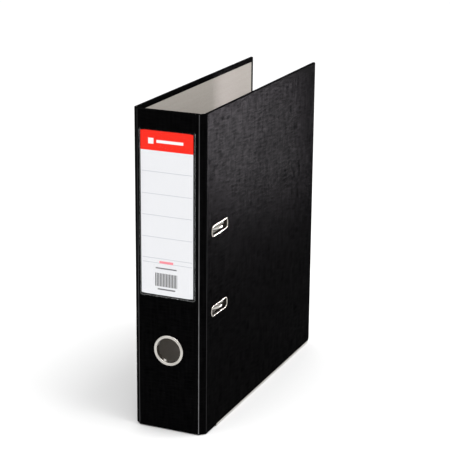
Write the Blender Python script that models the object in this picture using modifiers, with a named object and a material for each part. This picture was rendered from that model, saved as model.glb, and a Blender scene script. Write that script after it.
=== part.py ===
"""Lever arch file for A4 paper, standing upright with its spine facing -Y.

Frame: origin under the middle of the file on the surface it stands on, +Z up, front cover at +X and
back cover at -X. "Depth" below is the distance from the spine's outer face towards the open side.
Run with: blender --background --python part.py
"""

import math

import bmesh
import bpy
from mathutils import Matrix, Vector

MM = 0.001

# Case
WIDTH = 75.0 * MM  # outer face to outer face of the covers
CASE_DEPTH = 283.6 * MM  # spine's outer face to the covers' far edge
HEIGHT = 318.0 * MM
FOIL = 0.35 * MM
BOARD = 2.0 * MM
LINING = 0.35 * MM
SEAM = 0.15 * MM  # between glued layers
FIT = 0.3 * MM  # between hardware that touches
WALL = FOIL + SEAM + BOARD + SEAM + LINING
HINGE_LEG = 5.7 * MM  # each leg of the 45 degree hinge strip at a spine corner
TURN_IN = 5.0 * MM  # foil folded over the board's edge and showing round the lining
CORNER_TOP = 1.5 * MM
CORNER_BOTTOM = 5.0 * MM

# Metal edge rails under the covers
RAIL_SHEET = 0.4 * MM
RAIL_HEIGHT = 2.6 * MM
RAIL_START = 28.0 * MM
RAIL_END_GAP = 6.0 * MM
FOOT = RAIL_SHEET + FIT  # height of the case's lower edge above the surface

# Finger ring
RING_PROUD = 1.4 * MM
RING_Z = 83.0 * MM
RING_OUTER = 15.5 * MM
RING_BORE = 12.3 * MM
RING_HOLE = 13.2 * MM
RING_SHEET = 0.5 * MM

# Label and its pocket
LABEL_LOW = (-28.0 * MM, 138.6 * MM)
LABEL_SIZE = (54.0 * MM, 159.8 * MM)
POCKET_LOW = (-29.4 * MM, 136.6 * MM)
POCKET_SIZE = (57.6 * MM, 163.0 * MM)
FILM = 0.2 * MM
CARD = 0.25 * MM
POCKET_CLEAR = 0.1 * MM
POCKET_WELD = 0.8 * MM

# Slots in the front cover, where the arches lock in
SLOT_DEPTH = 34.0 * MM
SLOT_LENGTH = 35.0 * MM
SLOT_HEIGHT = 9.0 * MM
SLOT_CORNER = 3.6 * MM
EYELET_SHEET = 0.4 * MM
EYELET_FLANGE = 1.8 * MM
EYELET_PROUD = 0.8 * MM
SLOT_ABOVE_ARCH = 2.0 * MM

# Lever arch mechanism, on the inside of the back cover
MECH_Z = 160.4 * MM
ARCH_SPACING = 80.0 * MM
WIRE = 2.0 * MM  # radius
ROD_DEPTH = 22.0 * MM
ARCH_RADIUS = 19.0 * MM
ARCH_BELOW_COVER = 3.0 * MM  # top centre line under the front cover's outer face
ROD_ABOVE_PLATE = 3.3 * MM
CRANK_DEPTH = 37.0 * MM
CRANK_HALF = 10.0 * MM
CRANK_Z = MECH_Z + 5.0 * MM
WIRE_BEND = 4.0 * MM
PLATE_SHEET = 1.0 * MM
PLATE_DEPTHS = (15.5 * MM, 69.0 * MM)
PLATE_HALF_LENGTH = 66.0 * MM
PLATE_CORNER = 8.0 * MM
POST = 2.5 * MM
POST_FOOT = 4.5 * MM
SCARF_X = 7.0 * MM
STRAP_WIDTH = 6.0 * MM
STRAP_SHEET = 0.9 * MM
STRAP_Z = (MECH_Z + 30.0 * MM, MECH_Z - 30.0 * MM)
RIVET_DEPTHS = (25.0 * MM, 60.5 * MM)
RIVET_Z = (MECH_Z + 57.0 * MM, MECH_Z - 57.0 * MM)
RIVET_SHANK = 1.6 * MM
RIVET_HEAD = 3.6 * MM
RIVET_PROUD = 0.8 * MM
RIVET_SEAT = 0.2 * RIVET_PROUD  # how far a head's flat middle drops to its rounded part
RIVET_FLAT = 0.6 * RIVET_HEAD
RIVET_TAIL_FLAT = 0.9 * RIVET_HEAD
SPRING_SHEET = 0.3 * MM
SPRING_RISE = 0.7 * MM
SPRING_HALF_WIDTH = 3.0 * MM

# Lever
LEVER_DEPTH = 39.5 * MM  # middle of the lever
LEVER_WIDTH = 13.0 * MM
LEVER_LENGTH = 92.0 * MM
LEVER_SHEET = 1.0 * MM
LEVER_RISE = 4.5 * MM  # from the pivot up to the lever's top
LEVER_SKIRT = 7.4 * MM
LEVER_HEAD = 5.5 * MM  # the lever's upper end above its pivot
LEVER_TIP_WALL = 6.0 * MM  # solid length at the finger end
LEVER_TIP_CORNER = 6.5 * MM
LEVER_TIP_EASE = 0.5 * MM
SKIRT_FULL_TO = 27.0 * MM  # below the pivot
SKIRT_SLIM_FROM = 40.0 * MM  # below the pivot
SKIRT_SLIM = 3.4 * MM
SKIRT_TIP = 2.6 * MM
PIVOT_ABOVE_PLATE = 8.7 * MM
PIVOT_Z = MECH_Z + 26.0 * MM
PIN = 1.5 * MM
PIN_HEAD = 2.5 * MM
PIN_HEAD_THICK = 0.8 * MM
EAR_SHEET = 1.0 * MM
EAR_WIDTH = 11.0 * MM
EAR_DROP = 1.0 * MM  # of the ear's round end under the pivot
ROLLER_FROM_PIVOT = 21.0 * MM
ROLLER = 3.1 * MM
ROLLER_LENGTH = 8.0 * MM
ROLLER_BORE = 1.2 * MM
ROLLER_PIN = 0.9 * MM

# Compressor bar
BAR_HALF_WIDTH = 8.0 * MM
BAR_HALF_LENGTH = 56.0 * MM
BAR_THICK = 2.4 * MM
BAR_HOLE = 3.0 * MM
BAR_CORNER = 7.0 * MM

# Flexible hinge strips: how much each end stops short of the bend's corner
HINGE_SKIN_SHORT = 0.5 * MM
HINGE_LINING_SHORT = 1.3 * MM

HALF = WIDTH / 2
SPINE_Y = RING_PROUD - (CASE_DEPTH + RING_PROUD) / 2
HINGE_AXIS_OUT = 0.2 * HINGE_LEG  # outward of the strip's middle, where a folding strip really turns
HINGE_X = HALF - HINGE_LEG / 2 + HINGE_AXIS_OUT
HINGE_DEPTH = HINGE_LEG / 2 - HINGE_AXIS_OUT
PANEL_HALF = HALF - HINGE_LEG  # half the width of the spine's flat panel
INNER_X = HALF - WALL
PLATE_X = -INNER_X + FIT
PLATE_TOP = PLATE_X + PLATE_SHEET
ROD_X = PLATE_TOP + ROD_ABOVE_PLATE
ARCH_TOP_X = HALF - ARCH_BELOW_COVER
ARCH_CENTRE_X = ARCH_TOP_X - ARCH_RADIUS
POST_DEPTH = ROD_DEPTH + 2 * ARCH_RADIUS
PIVOT_X = PLATE_TOP + PIVOT_ABOVE_PLATE
ARCH_Z = (MECH_Z + ARCH_SPACING / 2, MECH_Z - ARCH_SPACING / 2)
SLOT_Z = tuple(z + SLOT_ABOVE_ARCH for z in ARCH_Z)
ARC_STEPS = 6
LOOP_STEPS = 8  # of a strap's or an ear's half circle
ARCH_STEPS = 16
SPRING_STEPS = 12
HOLE_STEPS = 24
CUT = 5.0 * MM  # how far a cutter runs past the face it cuts


def clear_scene():
    for obj in list(bpy.data.objects):
        bpy.data.objects.remove(obj, do_unlink=True)


def new_collection(name, hidden=False):
    collection = bpy.data.collections.new(name)
    collection.hide_render = hidden
    bpy.context.scene.collection.children.link(collection)
    return collection


clear_scene()
PARTS = new_collection("lever_arch_file")
CUTTERS = new_collection("cutters", hidden=True)


def material(name, colour, roughness, metallic=0.0, alpha=1.0):
    made = bpy.data.materials.new(name)
    made.use_nodes = True
    shader = made.node_tree.nodes["Principled BSDF"]
    shader.inputs["Base Color"].default_value = (*colour, 1.0)
    shader.inputs["Roughness"].default_value = roughness
    shader.inputs["Metallic"].default_value = metallic
    shader.inputs["Alpha"].default_value = alpha
    return made


BLACK_FOIL = material("black_foil", (0.012, 0.012, 0.014), 0.45)
GREY_BOARD = material("grey_board", (0.30, 0.28, 0.25), 0.9)
LINING_PAPER = material("lining_paper", (0.45, 0.41, 0.37), 0.8)
NICKEL = material("nickel", (0.72, 0.70, 0.66), 0.2, 1.0)
STEEL = material("zinc_steel", (0.60, 0.61, 0.62), 0.35, 1.0)
CLEAR_FILM = material("clear_film", (0.9, 0.9, 0.9), 0.1, 0.0, 0.15)
LABEL_CARD = material("label_card", (0.86, 0.86, 0.86), 0.7)
BLACK_PLASTIC = material("black_plastic", (0.02, 0.02, 0.02), 0.4)


def along(depth):
    """The Y of a point at this depth from the spine's outer face."""
    return SPINE_Y + depth


# Joint axes, as empties that the moving pieces are parented to


def pivot(name, x, depth, z, parent=None):
    empty = bpy.data.objects.new(name, None)
    PARTS.objects.link(empty)
    empty.empty_display_size = 5 * MM
    place = Vector((x, along(depth), z))
    empty.parent = parent
    empty.location = place - (world_place(parent) if parent else Vector())
    return empty


def world_place(obj):
    place = Vector()
    while obj:
        place = place + obj.location
        obj = obj.parent
    return place


SPINE_BODY = pivot("spine_pivot", -HINGE_X, HINGE_DEPTH, HEIGHT / 2)
FRONT_BODY = pivot("front_cover_pivot", HINGE_X, HINGE_DEPTH, HEIGHT / 2, SPINE_BODY)
ARCH_BODY = pivot("arch_pivot", ROD_X, ROD_DEPTH, MECH_Z)
LEVER_BODY = pivot("lever_pivot", PIVOT_X, LEVER_DEPTH, PIVOT_Z)
ROLLER_BODY = pivot("roller_pivot", PIVOT_X, LEVER_DEPTH, PIVOT_Z - ROLLER_FROM_PIVOT, LEVER_BODY)
BAR_BODY = pivot("compressor_slide", PLATE_TOP, POST_DEPTH, MECH_Z)


# Building blocks


def adopt(obj, parent, finish):
    """Gives a part its material and hangs it on its joint's empty without moving it."""
    if finish:
        obj.data.materials.clear()
        obj.data.materials.append(finish)
    if parent:
        place = obj.location.copy()
        obj.parent = parent
        obj.location = place - world_place(parent)
    return obj


def mesh_object(name, bm, collection=PARTS):
    mesh = bpy.data.meshes.new(name)
    bm.to_mesh(mesh)
    bm.free()
    obj = bpy.data.objects.new(name, mesh)
    collection.objects.link(obj)
    return obj


def block(name, low, high, collection=PARTS):
    """A box between two corners given as (x, depth, z)."""
    bm = bmesh.new()
    bmesh.ops.create_cube(bm, size=1.0)
    size = [b - a for a, b in zip(low, high)]
    middle = [(a + b) / 2 for a, b in zip(low, high)]
    bmesh.ops.scale(bm, vec=size, verts=bm.verts)
    obj = mesh_object(name, bm, collection)
    obj.location = (middle[0], along(middle[1]), middle[2])
    return obj


def rod(name, radius, start, end, sides=24, collection=PARTS):
    """A cylinder between two points given as (x, depth, z)."""
    a = Vector((start[0], along(start[1]), start[2]))
    b = Vector((end[0], along(end[1]), end[2]))
    bm = bmesh.new()
    bmesh.ops.create_cone(
        bm, cap_ends=True, segments=sides, radius1=radius, radius2=radius, depth=(b - a).length
    )
    obj = mesh_object(name, bm, collection)
    obj.location = (a + b) / 2
    obj.rotation_euler = (b - a).to_track_quat("Z", "Y").to_euler()
    return obj


def arc(centre, radius, start, end, steps=ARC_STEPS):
    """Points from angle start to angle end, in degrees, both included."""
    angles = [math.radians(start + (end - start) * i / steps) for i in range(steps + 1)]
    return [(centre[0] + radius * math.cos(a), centre[1] + radius * math.sin(a)) for a in angles]


def rounded(low, high, radii, steps=ARC_STEPS):
    """A rectangle's outline with a radius at each corner: low-low, high-low, high-high, low-high."""
    corners = [(low[0], low[1]), (high[0], low[1]), (high[0], high[1]), (low[0], high[1])]
    inward = [(1, 1), (-1, 1), (-1, -1), (1, -1)]
    points = []
    for i, (corner, turn, radius) in enumerate(zip(corners, inward, radii)):
        if radius <= 0:
            points.append(corner)
            continue
        centre = (corner[0] + turn[0] * radius, corner[1] + turn[1] * radius)
        points += arc(centre, radius, 180 + 90 * i, 270 + 90 * i, steps)
    return points


# Each plane turns a flat outline's two axes into world axes; the third is the thickness.
FACING = {
    "x": Matrix(((0, 0, 1), (1, 0, 0), (0, 1, 0))),  # outline in (depth, z), thick along X
    "y": Matrix(((1, 0, 0), (0, 0, -1), (0, 1, 0))),  # outline in (x, z), thick along Y
    "z": Matrix(((1, 0, 0), (0, 1, 0), (0, 0, 1))),  # outline in (x, depth), thick along Z
}


def plate(name, outlines, facing, start, end, collection=PARTS):
    """A flat sheet of a given outline, with holes where an outline lies inside another."""
    curve = bpy.data.curves.new(name, "CURVE")
    curve.dimensions = "2D"
    curve.fill_mode = "BOTH"
    curve.extrude = abs(end - start) / 2
    for outline in outlines:
        spline = curve.splines.new("POLY")
        spline.points.add(len(outline) - 1)
        for point, (u, v) in zip(spline.points, outline):
            point.co = (u, v, 0.0, 1.0)
        spline.use_cyclic_u = True
    shape = bpy.data.objects.new(name + "_outline", curve)
    CUTTERS.objects.link(shape)
    obj = solid_from(shape, name, collection)
    turn = FACING[facing]
    bm = bmesh.new()
    bm.from_mesh(obj.data)
    bmesh.ops.transform(bm, matrix=turn.to_4x4(), verts=bm.verts)
    bmesh.ops.recalc_face_normals(bm, faces=bm.faces)
    bm.to_mesh(obj.data)
    bm.free()
    middle = (start + end) / 2
    place = {"x": (middle, SPINE_Y, 0.0), "y": (0.0, along(middle), 0.0), "z": (0.0, SPINE_Y, middle)}
    obj.location = place[facing]
    return obj


def solid_from(shape, name, collection=PARTS):
    """Turns a curve object into a welded mesh object and removes the curve."""
    bpy.context.view_layer.update()
    graph = bpy.context.evaluated_depsgraph_get()
    mesh = bpy.data.meshes.new_from_object(shape.evaluated_get(graph))
    matrix = shape.matrix_world.copy()
    bpy.data.objects.remove(shape, do_unlink=True)
    bm = bmesh.new()
    bm.from_mesh(mesh)
    bmesh.ops.remove_doubles(bm, verts=bm.verts, dist=0.00001)
    bmesh.ops.recalc_face_normals(bm, faces=bm.faces)
    bm.to_mesh(mesh)
    bm.free()
    mesh.name = name
    obj = bpy.data.objects.new(name, mesh)
    obj.matrix_world = matrix
    collection.objects.link(obj)
    return obj


def turned(name, profile, facing, centre, sides=48, collection=PARTS):
    """A profile of (radius, height) points, top to bottom down the outer side, turned about Z, then
    laid so that its height runs along X ("x") or along -Y ("y")."""
    bm = bmesh.new()
    points = [bm.verts.new((radius, 0.0, height)) for radius, height in profile]
    for a, b in zip(points, points[1:] + points[:1]):
        bm.edges.new((a, b))
    obj = mesh_object(name, bm, collection)
    screw = obj.modifiers.new("turn", "SCREW")
    screw.steps = sides
    screw.render_steps = sides
    screw.use_merge_vertices = True
    screw.merge_threshold = 0.00001
    quarter = math.pi / 2
    obj.rotation_euler = (0, quarter, 0) if facing == "x" else (quarter, 0, 0)
    obj.location = (centre[0], along(centre[1]), centre[2])
    return obj


def combine(obj, other, operation):
    other.hide_render = True
    other.display_type = "WIRE"
    step = obj.modifiers.new(other.name, "BOOLEAN")
    step.operation = operation
    step.object = other
    step.solver = "EXACT"


def cut(obj, *others):
    for other in others:
        combine(obj, other, "DIFFERENCE")


def join(obj, *others):
    for other in others:
        combine(obj, other, "UNION")


def smooth(obj, degrees=35.0):
    obj.data.shade_smooth()
    obj.data.set_sharp_from_angle(angle=math.radians(degrees))
    return obj


# The covers


def cover_outline(inset, hinge_side):
    """(depth, z) outline of a cover, drawn in from its three free edges."""
    low = (hinge_side, FOOT + inset)
    high = (CASE_DEPTH - inset, HEIGHT - inset)
    bottom = max(CORNER_BOTTOM - inset, 0.0)
    top = max(CORNER_TOP - inset, 0.0)
    return rounded(low, high, (0.0, bottom, top, 0.0))


def cover_layers(prefix, side, parent):
    """Foil skin with its turned-in edges, board and lining of one cover; side is +1 for the front."""

    def layer(name, inset, hinge_side, outer, inner, collection=PARTS):
        depth_out = side * (HALF - outer)
        depth_in = side * (HALF - inner)
        return plate(name, [cover_outline(inset, hinge_side)], "x", depth_in, depth_out, collection)

    open_side = HINGE_LEG - CUT
    skin = layer(prefix + "_skin", 0.0, HINGE_LEG, 0.0, WALL)
    pocket = layer(prefix + "_board_space", FOIL, open_side, FOIL, WALL - LINING, CUTTERS)
    window = layer(prefix + "_lining_window", TURN_IN, open_side, FOIL + SEAM, WALL + CUT, CUTTERS)
    cut(skin, pocket, window)
    board_start = HINGE_LEG + FIT
    board = layer(prefix + "_board", FOIL + SEAM, board_start, FOIL + SEAM, FOIL + SEAM + BOARD)
    lining = layer(prefix + "_lining", TURN_IN + SEAM, board_start, WALL - LINING, WALL)
    adopt(skin, parent, BLACK_FOIL)
    adopt(board, parent, GREY_BOARD)
    adopt(lining, parent, LINING_PAPER)
    return skin, board, lining


def edge_rail(name, side, parent):
    """U-shaped nickel rail over a cover's lower edge."""
    outer = HALF + FIT + RAIL_SHEET
    inner = INNER_X - FIT - RAIL_SHEET
    end = CASE_DEPTH - RAIL_END_GAP
    xs = sorted((side * inner, side * outer))
    rail = block(name, (xs[0], RAIL_START, 0.0), (xs[1], end, RAIL_HEIGHT))
    low = (xs[0] + RAIL_SHEET, RAIL_START - CUT, RAIL_SHEET)
    high = (xs[1] - RAIL_SHEET, end + CUT, RAIL_HEIGHT + CUT)
    cut(rail, block(name + "_channel", low, high, CUTTERS))
    return adopt(rail, parent, NICKEL)


def slot_outline(z, grow):
    low = (SLOT_DEPTH - SLOT_LENGTH / 2 - grow, z - SLOT_HEIGHT / 2 - grow)
    high = (SLOT_DEPTH + SLOT_LENGTH / 2 + grow, z + SLOT_HEIGHT / 2 + grow)
    return rounded(low, high, [SLOT_CORNER + grow] * 4)


def eyelet(name, z):
    """Nickel eyelet lining a slot: a flange outside and a collar through the cover."""
    collar_end = INNER_X - FIT - EYELET_SHEET
    flange = plate(
        name,
        [slot_outline(z, EYELET_FLANGE), slot_outline(z, 0.0)],
        "x",
        HALF + FIT,
        HALF + EYELET_PROUD,
    )
    collar = plate(
        name + "_collar",
        [slot_outline(z, EYELET_SHEET), slot_outline(z, 0.0)],
        "x",
        collar_end,
        HALF + EYELET_PROUD,
        CUTTERS,
    )
    join(flange, collar)
    return adopt(flange, FRONT_BODY, NICKEL)


def eyelet_backing(name, z):
    """Flat ring behind the cover that the eyelet's collar is set against."""
    ring = plate(
        name,
        [slot_outline(z, EYELET_FLANGE), slot_outline(z, EYELET_SHEET + FIT)],
        "x",
        INNER_X - FIT - EYELET_SHEET,
        INNER_X - FIT,
    )
    return adopt(ring, FRONT_BODY, STEEL)


def build_front_cover():
    layers = cover_layers("front_cover", 1, FRONT_BODY)
    for i, z in enumerate(SLOT_Z):
        hole = [slot_outline(z, EYELET_SHEET + FIT)]
        for sheet in layers:
            cutter = plate(f"{sheet.name}_slot_{i}", hole, "x", INNER_X - CUT, HALF + CUT, CUTTERS)
            cut(sheet, cutter)
    for place, z in zip(("upper", "lower"), SLOT_Z):
        eyelet(f"slot_eyelet_{place}", z)
        eyelet_backing(f"slot_backing_{place}", z)
    edge_rail("front_edge_rail", 1, FRONT_BODY)


def build_back_cover():
    layers = cover_layers("back_cover", -1, None)
    for sheet in layers:
        for i, (depth, z) in enumerate(rivet_places()):
            start = (-HALF - CUT, depth, z)
            end = (-INNER_X + CUT, depth, z)
            hole = rod(f"{sheet.name}_hole_{i}", RIVET_SHANK + FIT, start, end, 12, CUTTERS)
            cut(sheet, hole)
    edge_rail("back_edge_rail", -1, None)


# The spine


def build_spine():
    def layer(name, inset, half_width, outer, inner, collection=PARTS):
        low = (-half_width, FOOT + inset)
        high = (half_width, HEIGHT - inset)
        return plate(name, [rounded(low, high, (0, 0, 0, 0))], "y", outer, inner, collection)

    skin = layer("spine_skin", 0.0, PANEL_HALF, 0.0, WALL)
    wide = PANEL_HALF + CUT
    pocket = layer("spine_board_space", FOIL, wide, FOIL, WALL - LINING, CUTTERS)
    window = layer("spine_lining_window", TURN_IN, wide, FOIL + SEAM, WALL + CUT, CUTTERS)
    cut(skin, pocket, window)
    half_board = PANEL_HALF - FIT
    board = layer("spine_board", FOIL + SEAM, half_board, FOIL + SEAM, FOIL + SEAM + BOARD)
    lining = layer("spine_lining", TURN_IN + SEAM, half_board, WALL - LINING, WALL)
    for sheet, finish in ((skin, BLACK_FOIL), (board, GREY_BOARD), (lining, LINING_PAPER)):
        start = (0.0, -CUT, RING_Z)
        end = (0.0, WALL + CUT, RING_Z)
        cut(sheet, rod(sheet.name + "_ring_hole", RING_HOLE, start, end, 32, CUTTERS))
        adopt(sheet, SPINE_BODY, finish)


def build_finger_ring():
    """Turned ring pressed through the spine, with a plain ring set against it inside."""
    tube_end = -(WALL + FIT + RING_SHEET)
    half_bead = (RING_OUTER - RING_BORE) / 2
    angles = [math.radians(angle) for angle in range(180, -1, -30)]
    rise = RING_PROUD - FIT
    bead = [(RING_BORE + half_bead * (1 + math.cos(a)), FIT + rise * math.sin(a)) for a in angles]
    outer_side = bead + [
        (RING_BORE + RING_SHEET, FIT),
        (RING_BORE + RING_SHEET, tube_end),
        (RING_BORE, tube_end),
    ]
    front = turned("finger_ring_front", outer_side, "y", (0.0, 0.0, RING_Z))
    adopt(smooth(front), SPINE_BODY, NICKEL)
    inner = RING_BORE + RING_SHEET + FIT
    washer = [
        (inner, RING_SHEET),
        (RING_OUTER, RING_SHEET),
        (RING_OUTER, 0.0),
        (inner, 0.0),
    ]
    back = turned("finger_ring_back", washer, "y", (0.0, WALL + FIT + RING_SHEET, RING_Z))
    adopt(smooth(back), SPINE_BODY, STEEL)


def build_label():
    """Clear pocket stuck on the spine, open at the top, with a paper label in it."""
    thick = 2 * FILM + 2 * POCKET_CLEAR + CARD
    outer = -SEAM - thick
    low = (POCKET_LOW[0], outer, POCKET_LOW[1])
    high = (POCKET_LOW[0] + POCKET_SIZE[0], -SEAM, POCKET_LOW[1] + POCKET_SIZE[1])
    pocket = block("label_pocket", low, high)
    inside_low = (low[0] + POCKET_WELD, outer + FILM, low[2] + POCKET_WELD)
    inside_high = (high[0] - POCKET_WELD, -SEAM - FILM, high[2] + CUT)
    cut(pocket, block("label_pocket_inside", inside_low, inside_high, CUTTERS))
    adopt(pocket, SPINE_BODY, CLEAR_FILM)
    card_y = outer + FILM + POCKET_CLEAR
    card_low = (LABEL_LOW[0], card_y, LABEL_LOW[1])
    card_high = (LABEL_LOW[0] + LABEL_SIZE[0], card_y + CARD, LABEL_LOW[1] + LABEL_SIZE[1])
    adopt(block("label_card", card_low, card_high), SPINE_BODY, LABEL_CARD)


# The flexible hinges


def hinge_strip(name, side, parent, start, thick, shorten, z_inset, finish):
    """A flat strip at 45 degrees from the spine's edge to a cover's edge, start inside the outer foil."""
    middle = Vector((side * (HALF - HINGE_LEG / 2), HINGE_LEG / 2))
    inward = Vector((-side, 1.0)).normalized()
    width = math.sqrt(2) * HINGE_LEG - 2 * shorten
    bm = bmesh.new()
    bmesh.ops.create_cube(bm, size=1.0)
    bmesh.ops.scale(bm, vec=(width, thick, HEIGHT - FOOT - 2 * z_inset), verts=bm.verts)
    strip = mesh_object(name, bm)
    centre = middle + inward * (start + thick / 2)
    strip.rotation_euler = (0, 0, side * math.pi / 4)
    strip.location = (centre.x, along(centre.y), (HEIGHT + FOOT) / 2)
    return adopt(strip, parent, finish)


def build_hinges():
    for prefix, side, parent in (("back", -1, SPINE_BODY), ("front", 1, FRONT_BODY)):
        skin = (0.0, FOIL, HINGE_SKIN_SHORT, 0.0, BLACK_FOIL)
        hinge_strip(f"{prefix}_hinge_skin", side, parent, *skin)
        lining = (FOIL + SEAM, LINING, HINGE_LINING_SHORT, TURN_IN, LINING_PAPER)
        hinge_strip(f"{prefix}_hinge_lining", side, parent, *lining)


# The mechanism


def rivet_places():
    return [(depth, z) for z in RIVET_Z for depth in RIVET_DEPTHS]


def build_rivets():
    """Rivets through the back cover and the base plate, with a low dome at each end."""
    top = PLATE_TOP + FIT + RIVET_PROUD
    bottom = -HALF - RIVET_PROUD
    length = top - bottom
    profile = [
        (0.0, length),
        (RIVET_FLAT, length - RIVET_SEAT),
        (RIVET_HEAD, length - RIVET_PROUD),
        (RIVET_SHANK, length - RIVET_PROUD),
        (RIVET_SHANK, RIVET_PROUD - FIT),
        (RIVET_HEAD, RIVET_PROUD - FIT),
        (RIVET_TAIL_FLAT, 0.0),
        (0.0, 0.0),
    ]
    for i, (depth, z) in enumerate(rivet_places()):
        rivet = turned(f"mechanism_rivet_{i + 1}", profile, "x", (bottom, depth, z), 16)
        adopt(smooth(rivet), None, NICKEL)


def strap(z):
    """Pressed loop that holds the arch's rod down on the base plate."""
    inside = WIRE + FIT
    outside = inside + STRAP_SHEET
    base = PLATE_TOP - 0.5 * PLATE_SHEET
    outline = [(base, ROD_DEPTH - outside)]
    outline += arc((ROD_X, ROD_DEPTH), outside, -90, 90, LOOP_STEPS)
    outline += [(base, ROD_DEPTH + outside), (base, ROD_DEPTH + inside)]
    outline += arc((ROD_X, ROD_DEPTH), inside, 90, -90, LOOP_STEPS)
    outline += [(base, ROD_DEPTH - inside)]
    return plate(f"strap_{z:.3f}", [outline], "z", z - STRAP_WIDTH / 2, z + STRAP_WIDTH / 2, CUTTERS)


def ear(side):
    """Upright ear of the base plate that carries one end of the lever's pin."""
    near = LEVER_DEPTH + side * (LEVER_WIDTH / 2 + FIT)
    far = near + side * EAR_SHEET
    half = EAR_WIDTH / 2
    base = PLATE_TOP - 0.5 * PLATE_SHEET
    outline = [(base, PIVOT_Z - half)] + arc((PIVOT_X - EAR_DROP, PIVOT_Z), half, -90, 90, LOOP_STEPS)
    outline += [(base, PIVOT_Z + half)]
    name = "ear_near" if side < 0 else "ear_far"
    return plate(name, [outline], "y", *sorted((near, far)), CUTTERS)


def build_base_plate():
    low = (PLATE_DEPTHS[0], MECH_Z - PLATE_HALF_LENGTH)
    high = (PLATE_DEPTHS[1], MECH_Z + PLATE_HALF_LENGTH)
    base = plate("base_plate", [rounded(low, high, [PLATE_CORNER] * 4)], "x", PLATE_X, PLATE_TOP)
    join(base, *[strap(z) for z in STRAP_Z], ear(-1), ear(1))
    for i, (depth, z) in enumerate(rivet_places()):
        start = (PLATE_X - CUT, depth, z)
        end = (PLATE_TOP + CUT, depth, z)
        cut(base, rod(f"plate_rivet_hole_{i}", RIVET_SHANK + FIT, start, end, 12, CUTTERS))
    reach = LEVER_WIDTH
    pin_hole = rod(
        "plate_pin_hole",
        PIN + FIT,
        (PIVOT_X, LEVER_DEPTH - reach, PIVOT_Z),
        (PIVOT_X, LEVER_DEPTH + reach, PIVOT_Z),
        16,
        CUTTERS,
    )
    cut(base, pin_hole)
    adopt(base, None, STEEL)


def build_posts():
    """Fixed posts, cut at 45 degrees where the arch's tips meet them."""
    for place, z in zip(("upper", "lower"), ARCH_Z):
        foot = PLATE_TOP + FIT
        post = rod(f"post_{place}", POST, (foot, POST_DEPTH, z), (SCARF_X + POST, POST_DEPTH, z))
        bm = bmesh.new()
        bm.from_mesh(post.data)
        half_length = (SCARF_X + POST - foot) / 2
        slice_end(bm, Vector((0, 0, half_length - POST)), scarf_direction(post))
        bm.to_mesh(post.data)
        bm.free()
        collar = rod(
            f"post_collar_{place}",
            POST_FOOT,
            (foot, POST_DEPTH, z),
            (foot + PLATE_SHEET, POST_DEPTH, z),
            24,
            CUTTERS,
        )
        join(post, collar)
        adopt(smooth(post), None, NICKEL)


def scarf_direction(obj):
    """The way an arch's tip leaves its post, up and towards the spine, in the object's own axes."""
    return obj.rotation_euler.to_matrix().inverted() @ Vector((1.0, -1.0, 0.0)).normalized()


def slice_end(bm, point, outward):
    """Cuts away what lies beyond a plane and closes the cut."""
    geometry = bm.verts[:] + bm.edges[:] + bm.faces[:]
    made = bmesh.ops.bisect_plane(bm, geom=geometry, plane_co=point, plane_no=outward, clear_outer=True)
    rim = [item for item in made["geom_cut"] if isinstance(item, bmesh.types.BMEdge)]
    bmesh.ops.contextual_create(bm, geom=rim)
    bmesh.ops.recalc_face_normals(bm, faces=bm.faces)


def bent(points, radius, steps=4):
    """Replaces each inner corner of a path by a round bend."""
    path = [Vector(points[0])]
    for before, corner, after in zip(points, points[1:], points[2:]):
        corner = Vector(corner)
        into = (Vector(before) - corner).normalized()
        out = (Vector(after) - corner).normalized()
        half_angle = into.angle(out) / 2
        reach = radius / math.tan(half_angle)
        centre = corner + (into + out).normalized() * (radius / math.sin(half_angle))
        a = corner + into * reach - centre
        b = corner + out * reach - centre
        path += [centre + a.slerp(b, i / steps).normalized() * radius for i in range(steps + 1)]
    path.append(Vector(points[-1]))
    return path


def build_arch_wire():
    """One bent wire: two arches, the rod between their legs, and the crank under the roller."""
    top_z, low_z = ARCH_Z
    crank_top = CRANK_Z + CRANK_HALF
    crank_low = CRANK_Z - CRANK_HALF
    overrun = 3 * WIRE

    def arch(z):
        """From the tip, over the arch and down to where the leg starts."""
        curve = arc((ARCH_CENTRE_X, ROD_DEPTH + ARCH_RADIUS), ARCH_RADIUS, 90, -90, ARCH_STEPS)
        points = [(SCARF_X - overrun, POST_DEPTH, z)]
        points += [(x, depth, z) for x, depth in curve]
        return [Vector(point) for point in points]

    rod_path = [
        (ARCH_CENTRE_X - WIRE_BEND, ROD_DEPTH, top_z),
        (ROD_X, ROD_DEPTH, top_z),
        (ROD_X, ROD_DEPTH, crank_top),
        (ROD_X, CRANK_DEPTH, crank_top),
        (ROD_X, CRANK_DEPTH, crank_low),
        (ROD_X, ROD_DEPTH, crank_low),
        (ROD_X, ROD_DEPTH, low_z),
        (ARCH_CENTRE_X - WIRE_BEND, ROD_DEPTH, low_z),
    ]
    path = arch(top_z) + bent(rod_path, WIRE_BEND) + arch(low_z)[::-1]
    curve = bpy.data.curves.new("arch_wire", "CURVE")
    curve.dimensions = "3D"
    curve.bevel_depth = WIRE
    curve.bevel_resolution = 2
    curve.use_fill_caps = True
    spline = curve.splines.new("POLY")
    spline.points.add(len(path) - 1)
    for point, place in zip(spline.points, path):
        point.co = (place.x, along(place.y), place.z, 1.0)
    wire_curve = bpy.data.objects.new("arch_wire_path", curve)
    CUTTERS.objects.link(wire_curve)
    wire = solid_from(wire_curve, "arch_wire")
    bm = bmesh.new()
    bm.from_mesh(wire.data)
    gap = FIT * Vector((1.0, -1.0, 0.0)).normalized()
    for z in ARCH_Z:
        scarf = Vector((SCARF_X, along(POST_DEPTH), z)) + gap
        near = [v for v in bm.verts if abs(v.co.z - z) < 2 * WIRE and v.co.y > along(POST_DEPTH) - 2 * WIRE]
        trim_tip(bm, near, scarf)
    bm.to_mesh(wire.data)
    bm.free()
    adopt(smooth(wire), ARCH_BODY, NICKEL)


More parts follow.
